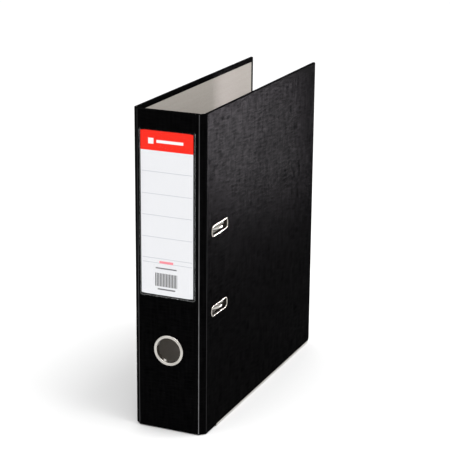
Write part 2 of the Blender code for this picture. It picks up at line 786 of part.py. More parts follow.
def trim_tip(bm, tip_verts, point):
    """Cuts one tip of the wire along the scarf plane, leaving the rest of the wire alone."""
    chosen = set(tip_verts)
    faces = [f for f in bm.faces if all(v in chosen for v in f.verts)]
    edges = list({e for f in faces for e in f.edges})
    outward = Vector((-1.0, 1.0, 0.0)).normalized()
    made = bmesh.ops.bisect_plane(
        bm, geom=tip_verts + edges + faces, plane_co=point, plane_no=outward, clear_outer=True
    )
    rim = [item for item in made["geom_cut"] if isinstance(item, bmesh.types.BMEdge)]
    bmesh.ops.contextual_create(bm, geom=rim)
    bmesh.ops.recalc_face_normals(bm, faces=bm.faces)


def build_spring():
    """Leaf spring under the crank, bowed up from the base plate."""
    half = CRANK_HALF - WIRE
    radius = (half * half + SPRING_RISE * SPRING_RISE) / (2 * SPRING_RISE)
    sweep = math.degrees(math.asin(half / radius))
    top = PLATE_TOP + FIT + SPRING_SHEET + SPRING_RISE
    centre = (top - radius, CRANK_Z)
    outline = arc(centre, radius, -sweep, sweep, SPRING_STEPS)
    outline += arc(centre, radius - SPRING_SHEET, sweep, -sweep, SPRING_STEPS)
    depths = (CRANK_DEPTH - SPRING_HALF_WIDTH, CRANK_DEPTH + SPRING_HALF_WIDTH)
    spring = plate("crank_spring", [outline], "y", *depths)
    adopt(spring, None, STEEL)


def build_lever():
    """Pressed channel with a rounded handle, its pin in the ears and its roller over the crank."""
    top = PIVOT_X + LEVER_RISE
    near = LEVER_DEPTH - LEVER_WIDTH / 2
    far = LEVER_DEPTH + LEVER_WIDTH / 2
    head = PIVOT_Z + LEVER_HEAD
    tip = PIVOT_Z - LEVER_LENGTH
    side_profile = [(top, tip), (top, head), (top - LEVER_SKIRT, head)]
    side_profile += [(top - LEVER_SKIRT, PIVOT_Z - SKIRT_FULL_TO)]
    side_profile += [(top - SKIRT_SLIM, PIVOT_Z - SKIRT_SLIM_FROM), (top - SKIRT_TIP, tip)]
    lever = plate("lever_handle", [side_profile], "y", near, far)
    hollow_tip = tip + LEVER_TIP_WALL
    hollow_profile = [(top - LEVER_SHEET, hollow_tip), (top - LEVER_SHEET, head + CUT)]
    hollow_profile += [(top - LEVER_SKIRT - CUT, head + CUT), (top - LEVER_SKIRT - CUT, hollow_tip)]
    inner = (near + LEVER_SHEET, far - LEVER_SHEET)
    hollow = plate("lever_hollow", [hollow_profile], "y", *inner, CUTTERS)
    around = rounded((near - CUT, tip - CUT), (far + CUT, head + 2 * CUT), (0, 0, 0, 0))
    kept_low = (near - LEVER_TIP_EASE, tip)
    kept_high = (far + LEVER_TIP_EASE, head + CUT)
    kept = rounded(kept_low, kept_high, (LEVER_TIP_CORNER, LEVER_TIP_CORNER, 0, 0))
    round_tip = plate(
        "lever_round_tip",
        [around, kept],
        "x",
        top - 2 * LEVER_SKIRT,
        top + CUT,
        CUTTERS,
    )
    cut(lever, hollow, round_tip)
    pin_holes = (("lever_pin_hole", 0.0, PIN), ("roller_pin_hole", ROLLER_FROM_PIVOT, ROLLER_PIN))
    for name, drop, radius in pin_holes:
        z = PIVOT_Z - drop
        start = (PIVOT_X, near - CUT, z)
        end = (PIVOT_X, far + CUT, z)
        cut(lever, rod(name, radius + FIT, start, end, 16, CUTTERS))
    adopt(smooth(lever), LEVER_BODY, STEEL)

    reach = LEVER_WIDTH / 2 + FIT + EAR_SHEET + FIT
    pin = rod(
        "lever_pin",
        PIN,
        (PIVOT_X, LEVER_DEPTH - reach - PIN_HEAD_THICK, PIVOT_Z),
        (PIVOT_X, LEVER_DEPTH + reach + PIN_HEAD_THICK, PIVOT_Z),
        20,
    )
    for side, name in ((-1, "lever_pin_head_near"), (1, "lever_pin_head_far")):
        head_start = (PIVOT_X, LEVER_DEPTH + side * reach, PIVOT_Z)
        head_end = (PIVOT_X, LEVER_DEPTH + side * (reach + PIN_HEAD_THICK), PIVOT_Z)
        join(pin, rod(name, PIN_HEAD, head_start, head_end, 20, CUTTERS))
    adopt(smooth(pin), None, STEEL)

    roller_z = PIVOT_Z - ROLLER_FROM_PIVOT
    half = LEVER_WIDTH / 2
    axle = rod(
        "roller_pin",
        ROLLER_PIN,
        (PIVOT_X, LEVER_DEPTH - half, roller_z),
        (PIVOT_X, LEVER_DEPTH + half, roller_z),
        16,
    )
    adopt(smooth(axle), LEVER_BODY, STEEL)
    shape = [
        (ROLLER_BORE, ROLLER_LENGTH / 2),
        (ROLLER, ROLLER_LENGTH / 2),
        (ROLLER, -ROLLER_LENGTH / 2),
        (ROLLER_BORE, -ROLLER_LENGTH / 2),
    ]
    roller = turned("crank_roller", shape, "y", (PIVOT_X, LEVER_DEPTH, roller_z), 24)
    adopt(smooth(roller), ROLLER_BODY, BLACK_PLASTIC)


def build_compressor():
    """Bar that slides on the posts and holds the paper down."""
    start = PLATE_TOP + FIT + PLATE_SHEET + FIT
    low = (POST_DEPTH - BAR_HALF_WIDTH, MECH_Z - BAR_HALF_LENGTH)
    high = (POST_DEPTH + BAR_HALF_WIDTH, MECH_Z + BAR_HALF_LENGTH)
    last = 360 * (HOLE_STEPS - 1) / HOLE_STEPS
    holes = [arc((POST_DEPTH, z), BAR_HOLE, 0, last, HOLE_STEPS - 1) for z in ARCH_Z]
    outline = rounded(low, high, [BAR_CORNER] * 4)
    bar = plate("compressor_bar", [outline] + holes, "x", start, start + BAR_THICK)
    adopt(bar, BAR_BODY, BLACK_PLASTIC)


build_back_cover()
build_front_cover()
build_spine()
build_finger_ring()
build_label()
build_hinges()
build_base_plate()
build_posts()
build_rivets()
build_arch_wire()
build_spring()
build_lever()
build_compressor()
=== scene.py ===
"""Studio scene of a lever arch file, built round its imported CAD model.

Frame as in the CAD: metres, +Z up, spine facing -Y, front cover at +X, back cover at -X.
"Depth" is the distance from the spine's outer face towards the open side.
"""

import math

import bmesh
import bpy
from mathutils import Matrix, Vector


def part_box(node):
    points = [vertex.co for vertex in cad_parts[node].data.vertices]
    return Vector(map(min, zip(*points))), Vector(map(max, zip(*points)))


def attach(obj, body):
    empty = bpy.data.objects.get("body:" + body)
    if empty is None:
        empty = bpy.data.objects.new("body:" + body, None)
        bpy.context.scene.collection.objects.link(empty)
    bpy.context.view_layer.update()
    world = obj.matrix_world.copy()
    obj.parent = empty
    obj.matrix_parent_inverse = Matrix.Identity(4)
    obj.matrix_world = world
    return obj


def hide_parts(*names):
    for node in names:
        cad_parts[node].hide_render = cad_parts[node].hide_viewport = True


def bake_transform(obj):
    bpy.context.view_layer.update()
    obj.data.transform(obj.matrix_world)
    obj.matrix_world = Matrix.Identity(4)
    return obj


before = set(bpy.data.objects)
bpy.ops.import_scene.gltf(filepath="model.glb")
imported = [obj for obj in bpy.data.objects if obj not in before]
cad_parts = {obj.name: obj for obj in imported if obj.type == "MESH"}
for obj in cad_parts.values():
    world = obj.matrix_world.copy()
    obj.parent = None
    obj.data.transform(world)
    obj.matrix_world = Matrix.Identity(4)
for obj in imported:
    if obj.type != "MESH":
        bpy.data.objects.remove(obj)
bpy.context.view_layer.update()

MM = 0.001
QUARTER = math.pi / 2
DIAGONAL = math.sqrt(0.5)

# Case, as the CAD has it
SPINE_LOW, SPINE_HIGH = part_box("spine_skin")
COVER_LOW, COVER_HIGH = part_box("front_cover_skin")
SPINE_Y = SPINE_LOW.y
PANEL_HALF = SPINE_HIGH.x  # half the width of the spine's flat panel
HALF = COVER_HIGH.x  # half the file's width
WALL = COVER_HIGH.x - COVER_LOW.x
HINGE_LEG = COVER_LOW.y - SPINE_Y
FAR_Y = COVER_HIGH.y
LOW_Z, HIGH_Z = COVER_LOW.z, COVER_HIGH.z
INNER_X = HALF - WALL
FOIL = 0.35 * MM
TURN_IN = 5.0 * MM
CORNER_TOP = 1.5 * MM
CORNER_BOTTOM = 5.0 * MM
EDGE_RADIUS = 0.9 * MM  # of the foil round a board's edge
FLAT_LEAD = 1.5 * MM  # flat border before the rounding, which keeps the face's shading flat
SEAM_REACH = 3.0 * MM  # how far a hinge's foil runs onto the flat panels beside it
CREASE_RADIUS = 1.2 * MM
HINGE_WALL = 0.95 * MM  # two layers of foil where there is no board
HINGE_HOLLOW = 0.35 * MM
LINING_INSET = 1.95 * MM  # from a hinge's creases to the ends of its lining

# Hardware, as the CAD has it; the ring by its radii
GAP = 0.3 * MM
RING_LOW, RING_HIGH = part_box("finger_ring_front")
RING_CENTRE_Z = (RING_LOW.z + RING_HIGH.z) / 2
RING_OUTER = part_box("finger_ring_back")[1].x
RING_PROUD = SPINE_Y - RING_LOW.y
RING_BORE = 12.3 * MM
RING_HOLE = 13.2 * MM
RING_SHEET = 0.5 * MM
SLOT_LENGTH = 35.0 * MM
SLOT_HEIGHT = 9.0 * MM
SLOT_CORNER = 3.6 * MM
SLOT_DEPTH = 34.0 * MM
SLOT_RISE = 2.0 * MM  # of a slot's middle above its arch
EYELET_SHEET = 0.4 * MM
EYELET_FLANGE = 1.8 * MM
RIM_WIDTH = 1.05 * MM
FILM_SHEET = 0.2 * MM
FILM_WELD = 0.8 * MM
WELD_SPOTS = (-11.9 * MM, 10.0 * MM)  # heavier spots along the pocket's lower weld
SPOT_HALF = 0.6 * MM

# Mechanism, as the CAD has it; the wire and the holes by their radius
WIRE = 2.0 * MM
WIRE_BEND = 4.0 * MM
ARCH_RADIUS = 19.0 * MM
CRANK_HALF = 10.0 * MM
SCARF_X = 7.0 * MM  # middle of the 45 degree cuts between posts and arches
PLATE_SHEET = 1.0 * MM
RIVET_HOLE = 1.9 * MM
PIN_HOLE = 1.8 * MM
ROLLER_BORE = 1.2 * MM


def depth(value):
    return SPINE_Y + value


ROD_Y = depth(22.0 * MM)
CRANK_Y = depth(37.0 * MM)
POST_Y = depth(60.0 * MM)
LEVER_Y = depth(39.5 * MM)
PLATE_LOW, PLATE_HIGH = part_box("base_plate")
MECH_Z = (PLATE_LOW.z + PLATE_HIGH.z) / 2
PLATE_TOP = PLATE_LOW.x + PLATE_SHEET
ROD_X = PLATE_TOP + 3.3 * MM
CRANK_Z = MECH_Z + 5.0 * MM
ARCH_X = HALF - 3.0 * MM - ARCH_RADIUS
ARCH_Z = {"upper": MECH_Z + 40.0 * MM, "lower": MECH_Z - 40.0 * MM}
SLOT_Z = {place: z + SLOT_RISE for place, z in ARCH_Z.items()}
PIVOT_X = PLATE_TOP + 8.7 * MM
PIVOT_Z = MECH_Z + 26.0 * MM
ROLLER_Z = PIVOT_Z - 21.0 * MM
RIVETS = [(depth(d), MECH_Z + dz) for dz in (57.0 * MM, -57.0 * MM) for d in (25.0 * MM, 60.5 * MM)]

# ---------------- mesh helpers


def piece(name, vertices, faces, uvs=None, wear_and_highlight=None):
    """A mesh object; uvs and the scuff and painted highlight values hold one entry for each vertex."""
    mesh = bpy.data.meshes.new(name)
    mesh.from_pydata([tuple(v) for v in vertices], [], faces)
    if uvs:
        layer = mesh.uv_layers.new(name="wrap")
        for loop in mesh.loops:
            layer.data[loop.index].uv = uvs[loop.vertex_index]
    if wear_and_highlight:
        mesh.attributes.new("wear_and_highlight", "FLOAT", "POINT").data.foreach_set("value", wear_and_highlight)
    obj = bpy.data.objects.new(name, mesh)
    bpy.context.scene.collection.objects.link(obj)
    return turn_out(obj)


def turn_out(obj, towards=None):
    """Welds doubled points and turns every face outwards, or an open sheet towards a direction."""
    bm = bmesh.new()
    bm.from_mesh(obj.data)
    bmesh.ops.remove_doubles(bm, verts=bm.verts, dist=1e-6)
    bmesh.ops.dissolve_degenerate(bm, edges=bm.edges, dist=1e-7)
    bmesh.ops.recalc_face_normals(bm, faces=bm.faces)
    if towards is not None:
        largest = max(bm.faces, key=lambda face: face.calc_area())
        if largest.normal.dot(Vector(towards)) < 0:
            bmesh.ops.reverse_faces(bm, faces=bm.faces)
    bm.to_mesh(obj.data)
    bm.free()
    return obj


def apply_modifiers(obj):
    bpy.context.view_layer.update()
    graph = bpy.context.evaluated_depsgraph_get()
    mesh = bpy.data.meshes.new_from_object(obj.evaluated_get(graph), depsgraph=graph)
    obj.modifiers.clear()
    obj.data = mesh


def bake(obj, smooth_angle=35.0):
    """Applies every modifier and shades the result smooth up to an angle."""
    apply_modifiers(obj)
    obj.data.shade_smooth()
    obj.data.set_sharp_from_angle(angle=math.radians(smooth_angle))
    return obj


def modify(obj, kind, **settings):
    step = obj.modifiers.new(kind, kind)
    for key, value in settings.items():
        setattr(step, key, value)
    return obj


def solidify(obj, thickness):
    return modify(obj, "SOLIDIFY", thickness=thickness, offset=-1.0, use_even_offset=True)


def bevel(obj, width, segments=2):
    """Rounds the edges sharper than 40 degrees."""
    limit = math.radians(40.0)
    return modify(obj, "BEVEL", width=width, segments=segments, limit_method="ANGLE", angle_limit=limit)


def combine(obj, operation, *others):
    for other in others:
        modify(obj, "BOOLEAN", operation=operation, solver="EXACT", object=other)
    apply_modifiers(obj)
    for other in others:
        bpy.data.objects.remove(other, do_unlink=True)
    return obj


def eased(share):
    """A smooth step from 0 to 1."""
    return share * share * (3 - 2 * share)


def circle(sides):
    """(cosine, sine) pairs round a full turn."""
    turns = [2 * math.pi * i / sides for i in range(sides)]
    return [(math.cos(a), math.sin(a)) for a in turns]


def arc(centre, radius, start, end, steps):
    """Points from angle start to angle end, in degrees, both included."""
    angles = [math.radians(start + (end - start) * i / steps) for i in range(steps + 1)]
    return [(centre[0] + radius * math.cos(a), centre[1] + radius * math.sin(a)) for a in angles]


def rounded(low, high, radius, steps=8):
    """A rectangle's outline with round corners: low-low, high-low, high-high, low-high."""
    corners = [(low[0], low[1]), (high[0], low[1]), (high[0], high[1]), (low[0], high[1])]
    inward = [(1, 1), (-1, 1), (-1, -1), (1, -1)]
    points = []
    for i, (corner, turn) in enumerate(zip(corners, inward)):
        centre = (corner[0] + turn[0] * radius, corner[1] + turn[1] * radius)
        points += arc(centre, radius, 180 + 90 * i, 270 + 90 * i, steps)
    return points


PLANES = {
    "x": lambda u, v, w: (w, u, v),  # outline in (y, z), thick along X
    "y": lambda u, v, w: (u, w, v),  # outline in (x, z), thick along Y
    "z": lambda u, v, w: (u, v, w),  # outline in (x, y), thick along Z
}


def slab(name, outline, axis, start, end):
    """A flat solid of one outline between two places on an axis."""
    count = len(outline)
    vertices = [PLANES[axis](u, v, w) for w in (start, end) for u, v in outline]
    faces = [list(range(count)), list(range(2 * count - 1, count - 1, -1))]
    faces += [[i, (i + 1) % count, count + (i + 1) % count, count + i] for i in range(count)]
    return piece(name, vertices, faces)


def loft(name, rings, closed_rings=True, closed_loft=False, capped=(), uvs=None, wear_and_highlight=None):
    """Skins rings that have the same number of points; capped lists the rings that get a face."""
    count = len(rings[0])
    vertices = [p for ring in rings for p in ring]
    faces = []
    last = len(rings) if closed_loft else len(rings) - 1
    for k in range(last):
        a, b = k * count, ((k + 1) % len(rings)) * count
        for i in range(count if closed_rings else count - 1):
            j = (i + 1) % count
            faces.append([a + i, a + j, b + j, b + i])
    for k in capped:
        first = (k % len(rings)) * count
        faces.append(list(range(first, first + count)))
    return piece(name, vertices, faces, uvs, wear_and_highlight)


BOTH_ENDS = (0, -1)


def turned(name, profile, axis, centre, sides=48, closed=True):
    """Turns (radius, height) points about an axis through a point; an open profile runs axis to axis."""
    place, centre = PLANES[axis], Vector(centre)
    rings = [[centre + Vector(place(r * c, r * s, h)) for c, s in circle(sides)] for r, h in profile]
    return loft(name, rings, closed_loft=closed)


def drill(name, radius, start, end, axis, centre, sides=24):
    """A round cutter, from start to end along an axis through a point."""
    profile = [(0, start), (radius, start), (radius, end), (0, end)]
    return turned(name, profile, axis, centre, sides, closed=False)


def pin(name, radius, start, end, head=0.0, head_thick=0.0, sides=24):
    """A pin along Y with eased ends, or with a flat head at each end."""
    ease = 0.25 * radius
    length = end[1] - start[1]
    widest = head or radius
    half = [(0.0, 0.0), (widest - ease, 0.0), (widest, ease)]
    if head:
        half += [(head, head_thick - ease), (head - ease, head_thick), (radius, head_thick)]
    profile = half + [(r, length - h) for r, h in half[::-1]]
    return turned(name, profile, "y", start, sides, closed=False)


def tube(path, radius, sides):
    """Rings of a round wire along a path, turned with as little twist as can be."""
    rings = []
    side = None
    for i, point in enumerate(path):
        before, after = path[max(i - 1, 0)], path[min(i + 1, len(path) - 1)]
        ahead = (after - before).normalized()
        if side is None:
            side = ahead.orthogonal().normalized()
        side = (side - ahead * side.dot(ahead)).normalized()
        other = ahead.cross(side)
        rings.append([point + (side * c + other * s) * radius for c, s in circle(sides)])
    return rings


def bent(points, radius, steps=8):
    """Replaces each inner corner of a path by a round bend."""
    path = [Vector(points[0])]
    for before, corner, after in zip(points, points[1:], points[2:]):
        corner = Vector(corner)
        into = (Vector(before) - corner).normalized()
        out = (Vector(after) - corner).normalized()
        half_angle = into.angle(out) / 2
        reach = radius / math.tan(half_angle)
        centre = corner + (into + out).normalized() * (radius / math.sin(half_angle))
        a = corner + into * reach - centre
        b = corner + out * reach - centre
        path += [centre + a.slerp(b, i / steps).normalized() * radius for i in range(steps + 1)]
    path.append(Vector(points[-1]))
    return path


# ---------------- materials


class Graph:
    """Short names for building a material's or a world's nodes."""

    def __init__(self, name, kind="materials", shader="Principled BSDF"):
        self.owner = getattr(bpy.data, kind).new(name)
        self.owner.use_nodes = True
        self.nodes = self.owner.node_tree.nodes
        self.links = self.owner.node_tree.links
        self.shader = self.nodes[shader]

    def add(self, kind, *inputs, **settings):
        """A node with these settings and first inputs."""
        node = self.nodes.new(kind)
        for key, value in settings.items():
            setattr(node, key, value)
        for value, socket in zip(inputs, node.inputs):
            self.put(value, socket)
        return node

    def put(self, value, socket):
        if isinstance(value, bpy.types.NodeSocket):
            self.links.new(value, socket)
        else:
            socket.default_value = value

    def math(self, operation, a, b=0.0, c=0.0):
        return self.add("ShaderNodeMath", a, b, c, operation=operation).outputs[0]

    def mix(self, factor, a, b):
        """Mixes two colours."""
        node = self.add("ShaderNodeMix", data_type="RGBA")
        self.put(factor, node.inputs["Factor"])
        for value, socket in ((a, node.inputs[6]), (b, node.inputs[7])):
            self.put(value if isinstance(value, bpy.types.NodeSocket) else (*value, 1.0), socket)
        return node.outputs[2]

    def spread(self, value, low, high, out_low=0.0, out_high=1.0):
        """Maps a range onto another one, clamped."""
        return self.add("ShaderNodeMapRange", value, low, high, out_low, out_high).outputs[0]

    def between(self, value, low, high):
        """1 where a value lies between two limits."""
        return self.math("COMPARE", value, (low + high) / 2, (high - low) / 2)

    def noise(self, vector, scale, detail=3.0, rough=0.55, stretch=(1.0, 1.0, 1.0)):
        """Noise of about scale features a metre, more along an axis that is stretched above 1."""
        mapping = self.add("ShaderNodeMapping", vector)
        mapping.inputs["Scale"].default_value = stretch
        node = self.add("ShaderNodeTexNoise", mapping.outputs[0])
        node.inputs["Scale"].default_value = scale
        node.inputs["Detail"].default_value = detail
        node.inputs["Roughness"].default_value = rough
        return node.outputs["Fac"]

    def place(self):
        return self.add("ShaderNodeTexCoord").outputs["Object"]

    def parts(self, vector):
        """A vector's X, Y and Z."""
        return self.add("ShaderNodeSeparateXYZ", vector).outputs

    def bump(self, height, strength, distance):
        node = self.add("ShaderNodeBump")
        node.inputs["Strength"].default_value = strength
        node.inputs["Distance"].default_value = distance
        self.put(height, node.inputs["Height"])
        self.links.new(node.outputs[0], self.shader.inputs["Normal"])
        return node.outputs[0]

    def set(self, **values):
        for key, value in values.items():
            socket = self.shader.inputs[key.replace("_", " ")]
            if isinstance(value, tuple) and len(value) == 3:
                value = (*value, 1.0)
            self.put(value, socket)
        return self.owner


THREAD_PITCH = 1.0 * MM
THREAD_WOBBLE = 3.2  # radians


def foil_material():
    """Black embossed foil: a fine crossed weave, uneven gloss, and a light grey painted highlight along
    the creases, which on the board edges also stands for scuffing.
    """
    g = Graph("black_foil_linen")
    uv = g.add("ShaderNodeUVMap", uv_map="wrap").outputs["UV"]
    place = g.parts(uv)
    wobble = g.math("MULTIPLY", g.math("SUBTRACT", g.noise(uv, 260.0, 2.0), 0.5), THREAD_WOBBLE)
    threads = []
    for axis in ("X", "Y"):
        turn = g.math("MULTIPLY_ADD", place[axis], 2 * math.pi / THREAD_PITCH, wobble)
        threads.append(g.math("MULTIPLY_ADD", g.math("SINE", turn), 0.5, 0.5))
    slub = g.spread(g.noise(uv, 150.0, 1.0, 0.5, (0.5, 6.0, 1.0)), 0.35, 0.65)
    cross = g.spread(g.noise(uv, 150.0, 1.0, 0.5, (3.0, 0.3, 1.0)), 0.35, 0.65)
    upright, level = g.math("MULTIPLY", threads[0], cross), g.math("MULTIPLY", threads[1], slub)
    weave = g.math("MAXIMUM", upright, level)
    relief = g.math("MULTIPLY_ADD", slub, 0.55, g.math("MULTIPLY_ADD", cross, 0.25, weave))
    cloud = g.noise(uv, 14.0, 3.0)
    # Painted highlight: the creases, and faintly the board edges where it also stands for scuffing, turn
    # light grey in patches, brighter towards the bottom
    wear_and_highlight = g.add("ShaderNodeAttribute", attribute_name="wear_and_highlight").outputs["Fac"]
    patchy = g.spread(g.noise(uv, 55.0, 5.0, 0.65), 0.25, 0.6, 0.55, 1.0)
    lower = g.spread(place["Y"], 0.30, 0.16, 0.35, 1.0)
    highlight_and_wear = g.math("MULTIPLY", wear_and_highlight, g.math("MULTIPLY", patchy, lower))
    colour = g.mix(weave, (0.0006, 0.0006, 0.0007), (0.0018, 0.0017, 0.0019))
    # Mixes in the light grey painted highlight
    colour = g.mix(highlight_and_wear, colour, (0.17, 0.17, 0.175))
    gloss = g.spread(cloud, 0.3, 0.7, 0.018, 0.023)
    shine = g.math("MULTIPLY", g.spread(relief, 0.1, 1.6, 0.15, 1.55), gloss)
    g.links.new(g.bump(relief, 0.5, 0.06 * MM), g.shader.inputs["Coat Normal"])
    return g.set(
        Base_Color=colour, Roughness=0.6, Specular_IOR_Level=0.0, Coat_Weight=shine, Coat_Roughness=0.34
    )


def paper_material():
    """Warm grey lining paper with long fibres, faint calender streaks and brown specks."""
    g = Graph("lining_paper_grey")
    place = g.place()
    streaks = g.noise(place, 60.0, 4.0, 0.6, (1.0, 0.2, 5.0))
    fibres = g.noise(place, 900.0, 3.0, 0.7, (1.0, 0.25, 1.0))
    specks = g.noise(place, 2200.0, 2.0, 0.5)
    tone = g.math("MULTIPLY_ADD", fibres, 0.6, g.math("MULTIPLY", streaks, 0.4))
    colour = g.mix(g.spread(tone, 0.35, 0.65), (0.350, 0.325, 0.296), (0.395, 0.369, 0.339))
    colour = g.mix(g.spread(specks, 0.66, 0.74, 0.0, 0.35), colour, (0.22, 0.19, 0.16))
    g.bump(fibres, 0.35, 0.08 * MM)
    rough = g.spread(fibres, 0.3, 0.7, 0.72, 0.86)
    return g.set(Base_Color=colour, Roughness=rough, Specular_IOR_Level=0.2)


def board_material():
    """Pressed grey board, seen on cut edges: layered and fibrous."""
    g = Graph("grey_board_fibre")
    place = g.place()
    layers = g.noise(place, 500.0, 4.0, 0.7, (4.0, 4.0, 1.0))
    fibres = g.noise(place, 1500.0, 3.0, 0.6)
    colour = g.mix(g.spread(layers, 0.35, 0.65), (0.22, 0.205, 0.185), (0.36, 0.335, 0.30))
    g.bump(fibres, 0.6, 0.15 * MM)
    return g.set(Base_Color=colour, Roughness=0.9, Specular_IOR_Level=0.25)


NEAR_BLACK = (0.012, 0.010, 0.009)


def metal_material(name, dark, light, rough_low, rough_high, grain, darken_below=None):
    """Cloudy plated metal with a drawn grain and fine scratches; darkened to near black below an X, if
    given.
    """
    g = Graph(name)
    place = g.place()
    cloud = g.noise(place, 60.0, 4.0, 0.6)
    drawn = g.noise(place, 900.0, 3.0, 0.6, grain)
    scratch = g.noise(place, 700.0, 2.0, 0.9, (grain[2], grain[0], grain[1]))
    scratch = g.spread(scratch, 0.66, 0.70, 0.0, 0.6)
    colour = g.mix(g.spread(cloud, 0.3, 0.7), dark, light)
    # Darkened to near black below the X: on the eyelets, their collars down in the slots
    if darken_below is not None:
        sunk = g.spread(g.parts(place)["X"], darken_below, darken_below - 0.4 * MM, 0.0, 0.94)
        colour = g.mix(sunk, colour, NEAR_BLACK)
    rough = g.spread(drawn, 0.3, 0.7, rough_low, rough_high)
    rough = g.math("ADD", rough, g.math("MULTIPLY", scratch, 0.12))
    g.bump(g.math("SUBTRACT", drawn, scratch), 0.12, 0.04 * MM)
    return g.set(Base_Color=colour, Roughness=rough, Metallic=1.0)


def plastic_material():
    """Black moulded plastic with a fine spark-eroded grain."""
    g = Graph("black_plastic_grain")
    place = g.place()
    grain = g.noise(place, 2600.0, 2.0, 0.5)
    cloud = g.noise(place, 40.0, 3.0)
    colour = g.mix(cloud, (0.010, 0.010, 0.011), (0.020, 0.020, 0.021))
    g.bump(grain, 0.3, 0.06 * MM)
    rough = g.spread(cloud, 0.3, 0.7, 0.38, 0.5)
    return g.set(Base_Color=colour, Roughness=rough, Specular_IOR_Level=0.4)


def film_material():
    """Clear pocket film, seen by its gloss and by its clouded welds."""
    g = Graph("clear_film_gloss")
    low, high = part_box("label_pocket")
    place = g.place()
    ripple = g.noise(place, 40.0, 2.0, 0.5, (1.0, 1.0, 0.4))
    edge = g.add("ShaderNodeLayerWeight")
    edge.inputs["Blend"].default_value = 0.15
    at = g.parts(place)

    def inside(left, right, bottom, top):
        return g.math("MULTIPLY", g.between(at["X"], left, right), g.between(at["Z"], bottom, top))

    window = inside(low.x + FILM_WELD, high.x - FILM_WELD, low.z + FILM_WELD, high.z + MM)
    weld = g.math("SUBTRACT", 1.0, window)
    for spot in WELD_SPOTS:
        dot = inside(spot - SPOT_HALF, spot + SPOT_HALF, low.z, low.z + FILM_WELD)
        weld = g.math("MULTIPLY_ADD", dot, 3.0, weld)
    clear = g.math("MULTIPLY_ADD", edge.outputs["Facing"], 0.05, 0.004)
    alpha = g.math("ADD", clear, g.math("MULTIPLY", weld, 0.14))
    g.bump(ripple, 0.1, 0.2 * MM)
    colour = g.mix(weld, (0.25, 0.25, 0.25), (0.30, 0.31, 0.31))
    return g.set(Base_Color=colour, Roughness=g.spread(ripple, 0.3, 0.7, 0.10, 0.18), Alpha=alpha)


# The card's print in millimetres from its upper left corner: left, right, top, bottom
BAND_FOOT = 18.9
BAND_MARKS = ((8.0, 13.5, 7.2, 12.7), (16.5, 44.0, 8.6, 11.4))
RULES = (39.2, 60.6, 81.4, 102.8, 123.6, 128.1)
RULE_INSET, RULE_HALF = 1.2, 0.22
RED_BAR = (19.0, 33.5, 125.8, 128.2)
DARK_BARS = ((15.0, 37.0, 132.4, 133.7), (17.0, 35.5, 153.2, 154.6))
STRIPES = (14.5, 37.5, 138.0, 151.2)
STRIPES_PER_MM, STRIPE_SHARE = 0.62, 0.64

# Its inks
PAPER_TONES = ((0.70, 0.705, 0.725), (0.745, 0.75, 0.77))
BAND_RED = (0.82, 0.020, 0.009)
MARK_WHITE = (0.82, 0.80, 0.80)
RULE_GREY = (0.44, 0.46, 0.50)
BAR_RED = (0.80, 0.26, 0.30)
BAR_DARK = (0.16, 0.16, 0.17)
STRIPE_BLACK = (0.10, 0.10, 0.10)


def label_material():
    """Printed card: a red band with plain marks, writing rules, and blank bars for the small print."""
    g = Graph("label_print")
    low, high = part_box("label_card")
    width = (high.x - low.x) / MM
    at = g.parts(g.place())
    across = g.math("MULTIPLY", g.math("SUBTRACT", at["X"], low.x), 1.0 / MM)
    down = g.math("MULTIPLY", g.math("SUBTRACT", high.z, at["Z"]), 1.0 / MM)

    def bar(left, right, top, bottom):
        return g.math("MULTIPLY", g.between(across, left, right), g.between(down, top, bottom))

    fibres = g.noise(g.place(), 1400.0, 3.0, 0.6)
    colour = g.mix(g.spread(fibres, 0.3, 0.7), *PAPER_TONES)
    rules = [(RULE_INSET, width - RULE_INSET, rule - RULE_HALF, rule + RULE_HALF) for rule in RULES]
    for bars, ink in (
        ([(-1.0, width + 1.0, -1.0, BAND_FOOT)], BAND_RED),
        (BAND_MARKS, MARK_WHITE),
        (rules, RULE_GREY),
        ([RED_BAR], BAR_RED),
        (DARK_BARS, BAR_DARK),
    ):
        for edges in bars:
            colour = g.mix(bar(*edges), colour, ink)
    stripe = g.math("FRACT", g.math("MULTIPLY", across, STRIPES_PER_MM))
    block = g.math("MULTIPLY", bar(*STRIPES), g.math("LESS_THAN", stripe, STRIPE_SHARE))
    colour = g.mix(block, colour, STRIPE_BLACK)
    g.bump(fibres, 0.15, 0.05 * MM)
    return g.set(Base_Color=colour, Roughness=0.6, Specular_IOR_Level=0.08)


# Each look is a material and the record's slot that it belongs to
FOIL_LOOK = (foil_material(), "black_foil")
PAPER_LOOK = (paper_material(), "lining_paper")
BOARD_LOOK = (board_material(), "grey_board")
NICKEL_METAL = ((0.44, 0.42, 0.39), (0.54, 0.52, 0.49), 0.08, 0.16, (1.0, 1.0, 3.0))
NICKEL_LOOK = (metal_material("nickel_plate", *NICKEL_METAL), "nickel")
# the eyelets are darkened to near black below the cover's face
EYELET_DARKEN_X = HALF + 0.1 * MM
EYELET_METAL = ((0.36, 0.335, 0.30), (0.46, 0.43, 0.39), 0.14, 0.24, (1.0, 3.0, 1.0), EYELET_DARKEN_X)
EYELET_LOOK = (metal_material("nickel_plate_eyelet", *EYELET_METAL), "nickel")
STEEL_METAL = ((0.48, 0.49, 0.50), (0.62, 0.63, 0.65), 0.26, 0.40, (3.0, 3.0, 0.4))
STEEL_LOOK = (metal_material("zinc_steel_drawn", *STEEL_METAL), "steel")
PLASTIC_LOOK = (plastic_material(), "black_plastic")
FILM_LOOK = (film_material(), "clear_film")
LABEL_LOOK = (label_material(), "label_card")


def finish_piece(obj, look, node, body=None):
    """Gives a piece the look's material, hides the CAD node that it stands for and attaches it to its
    body, if it has one.
    """
    material, slot = look
    obj.data.materials.append(material)
    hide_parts(node)
    if body:
        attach(obj, body)


# ---------------- case


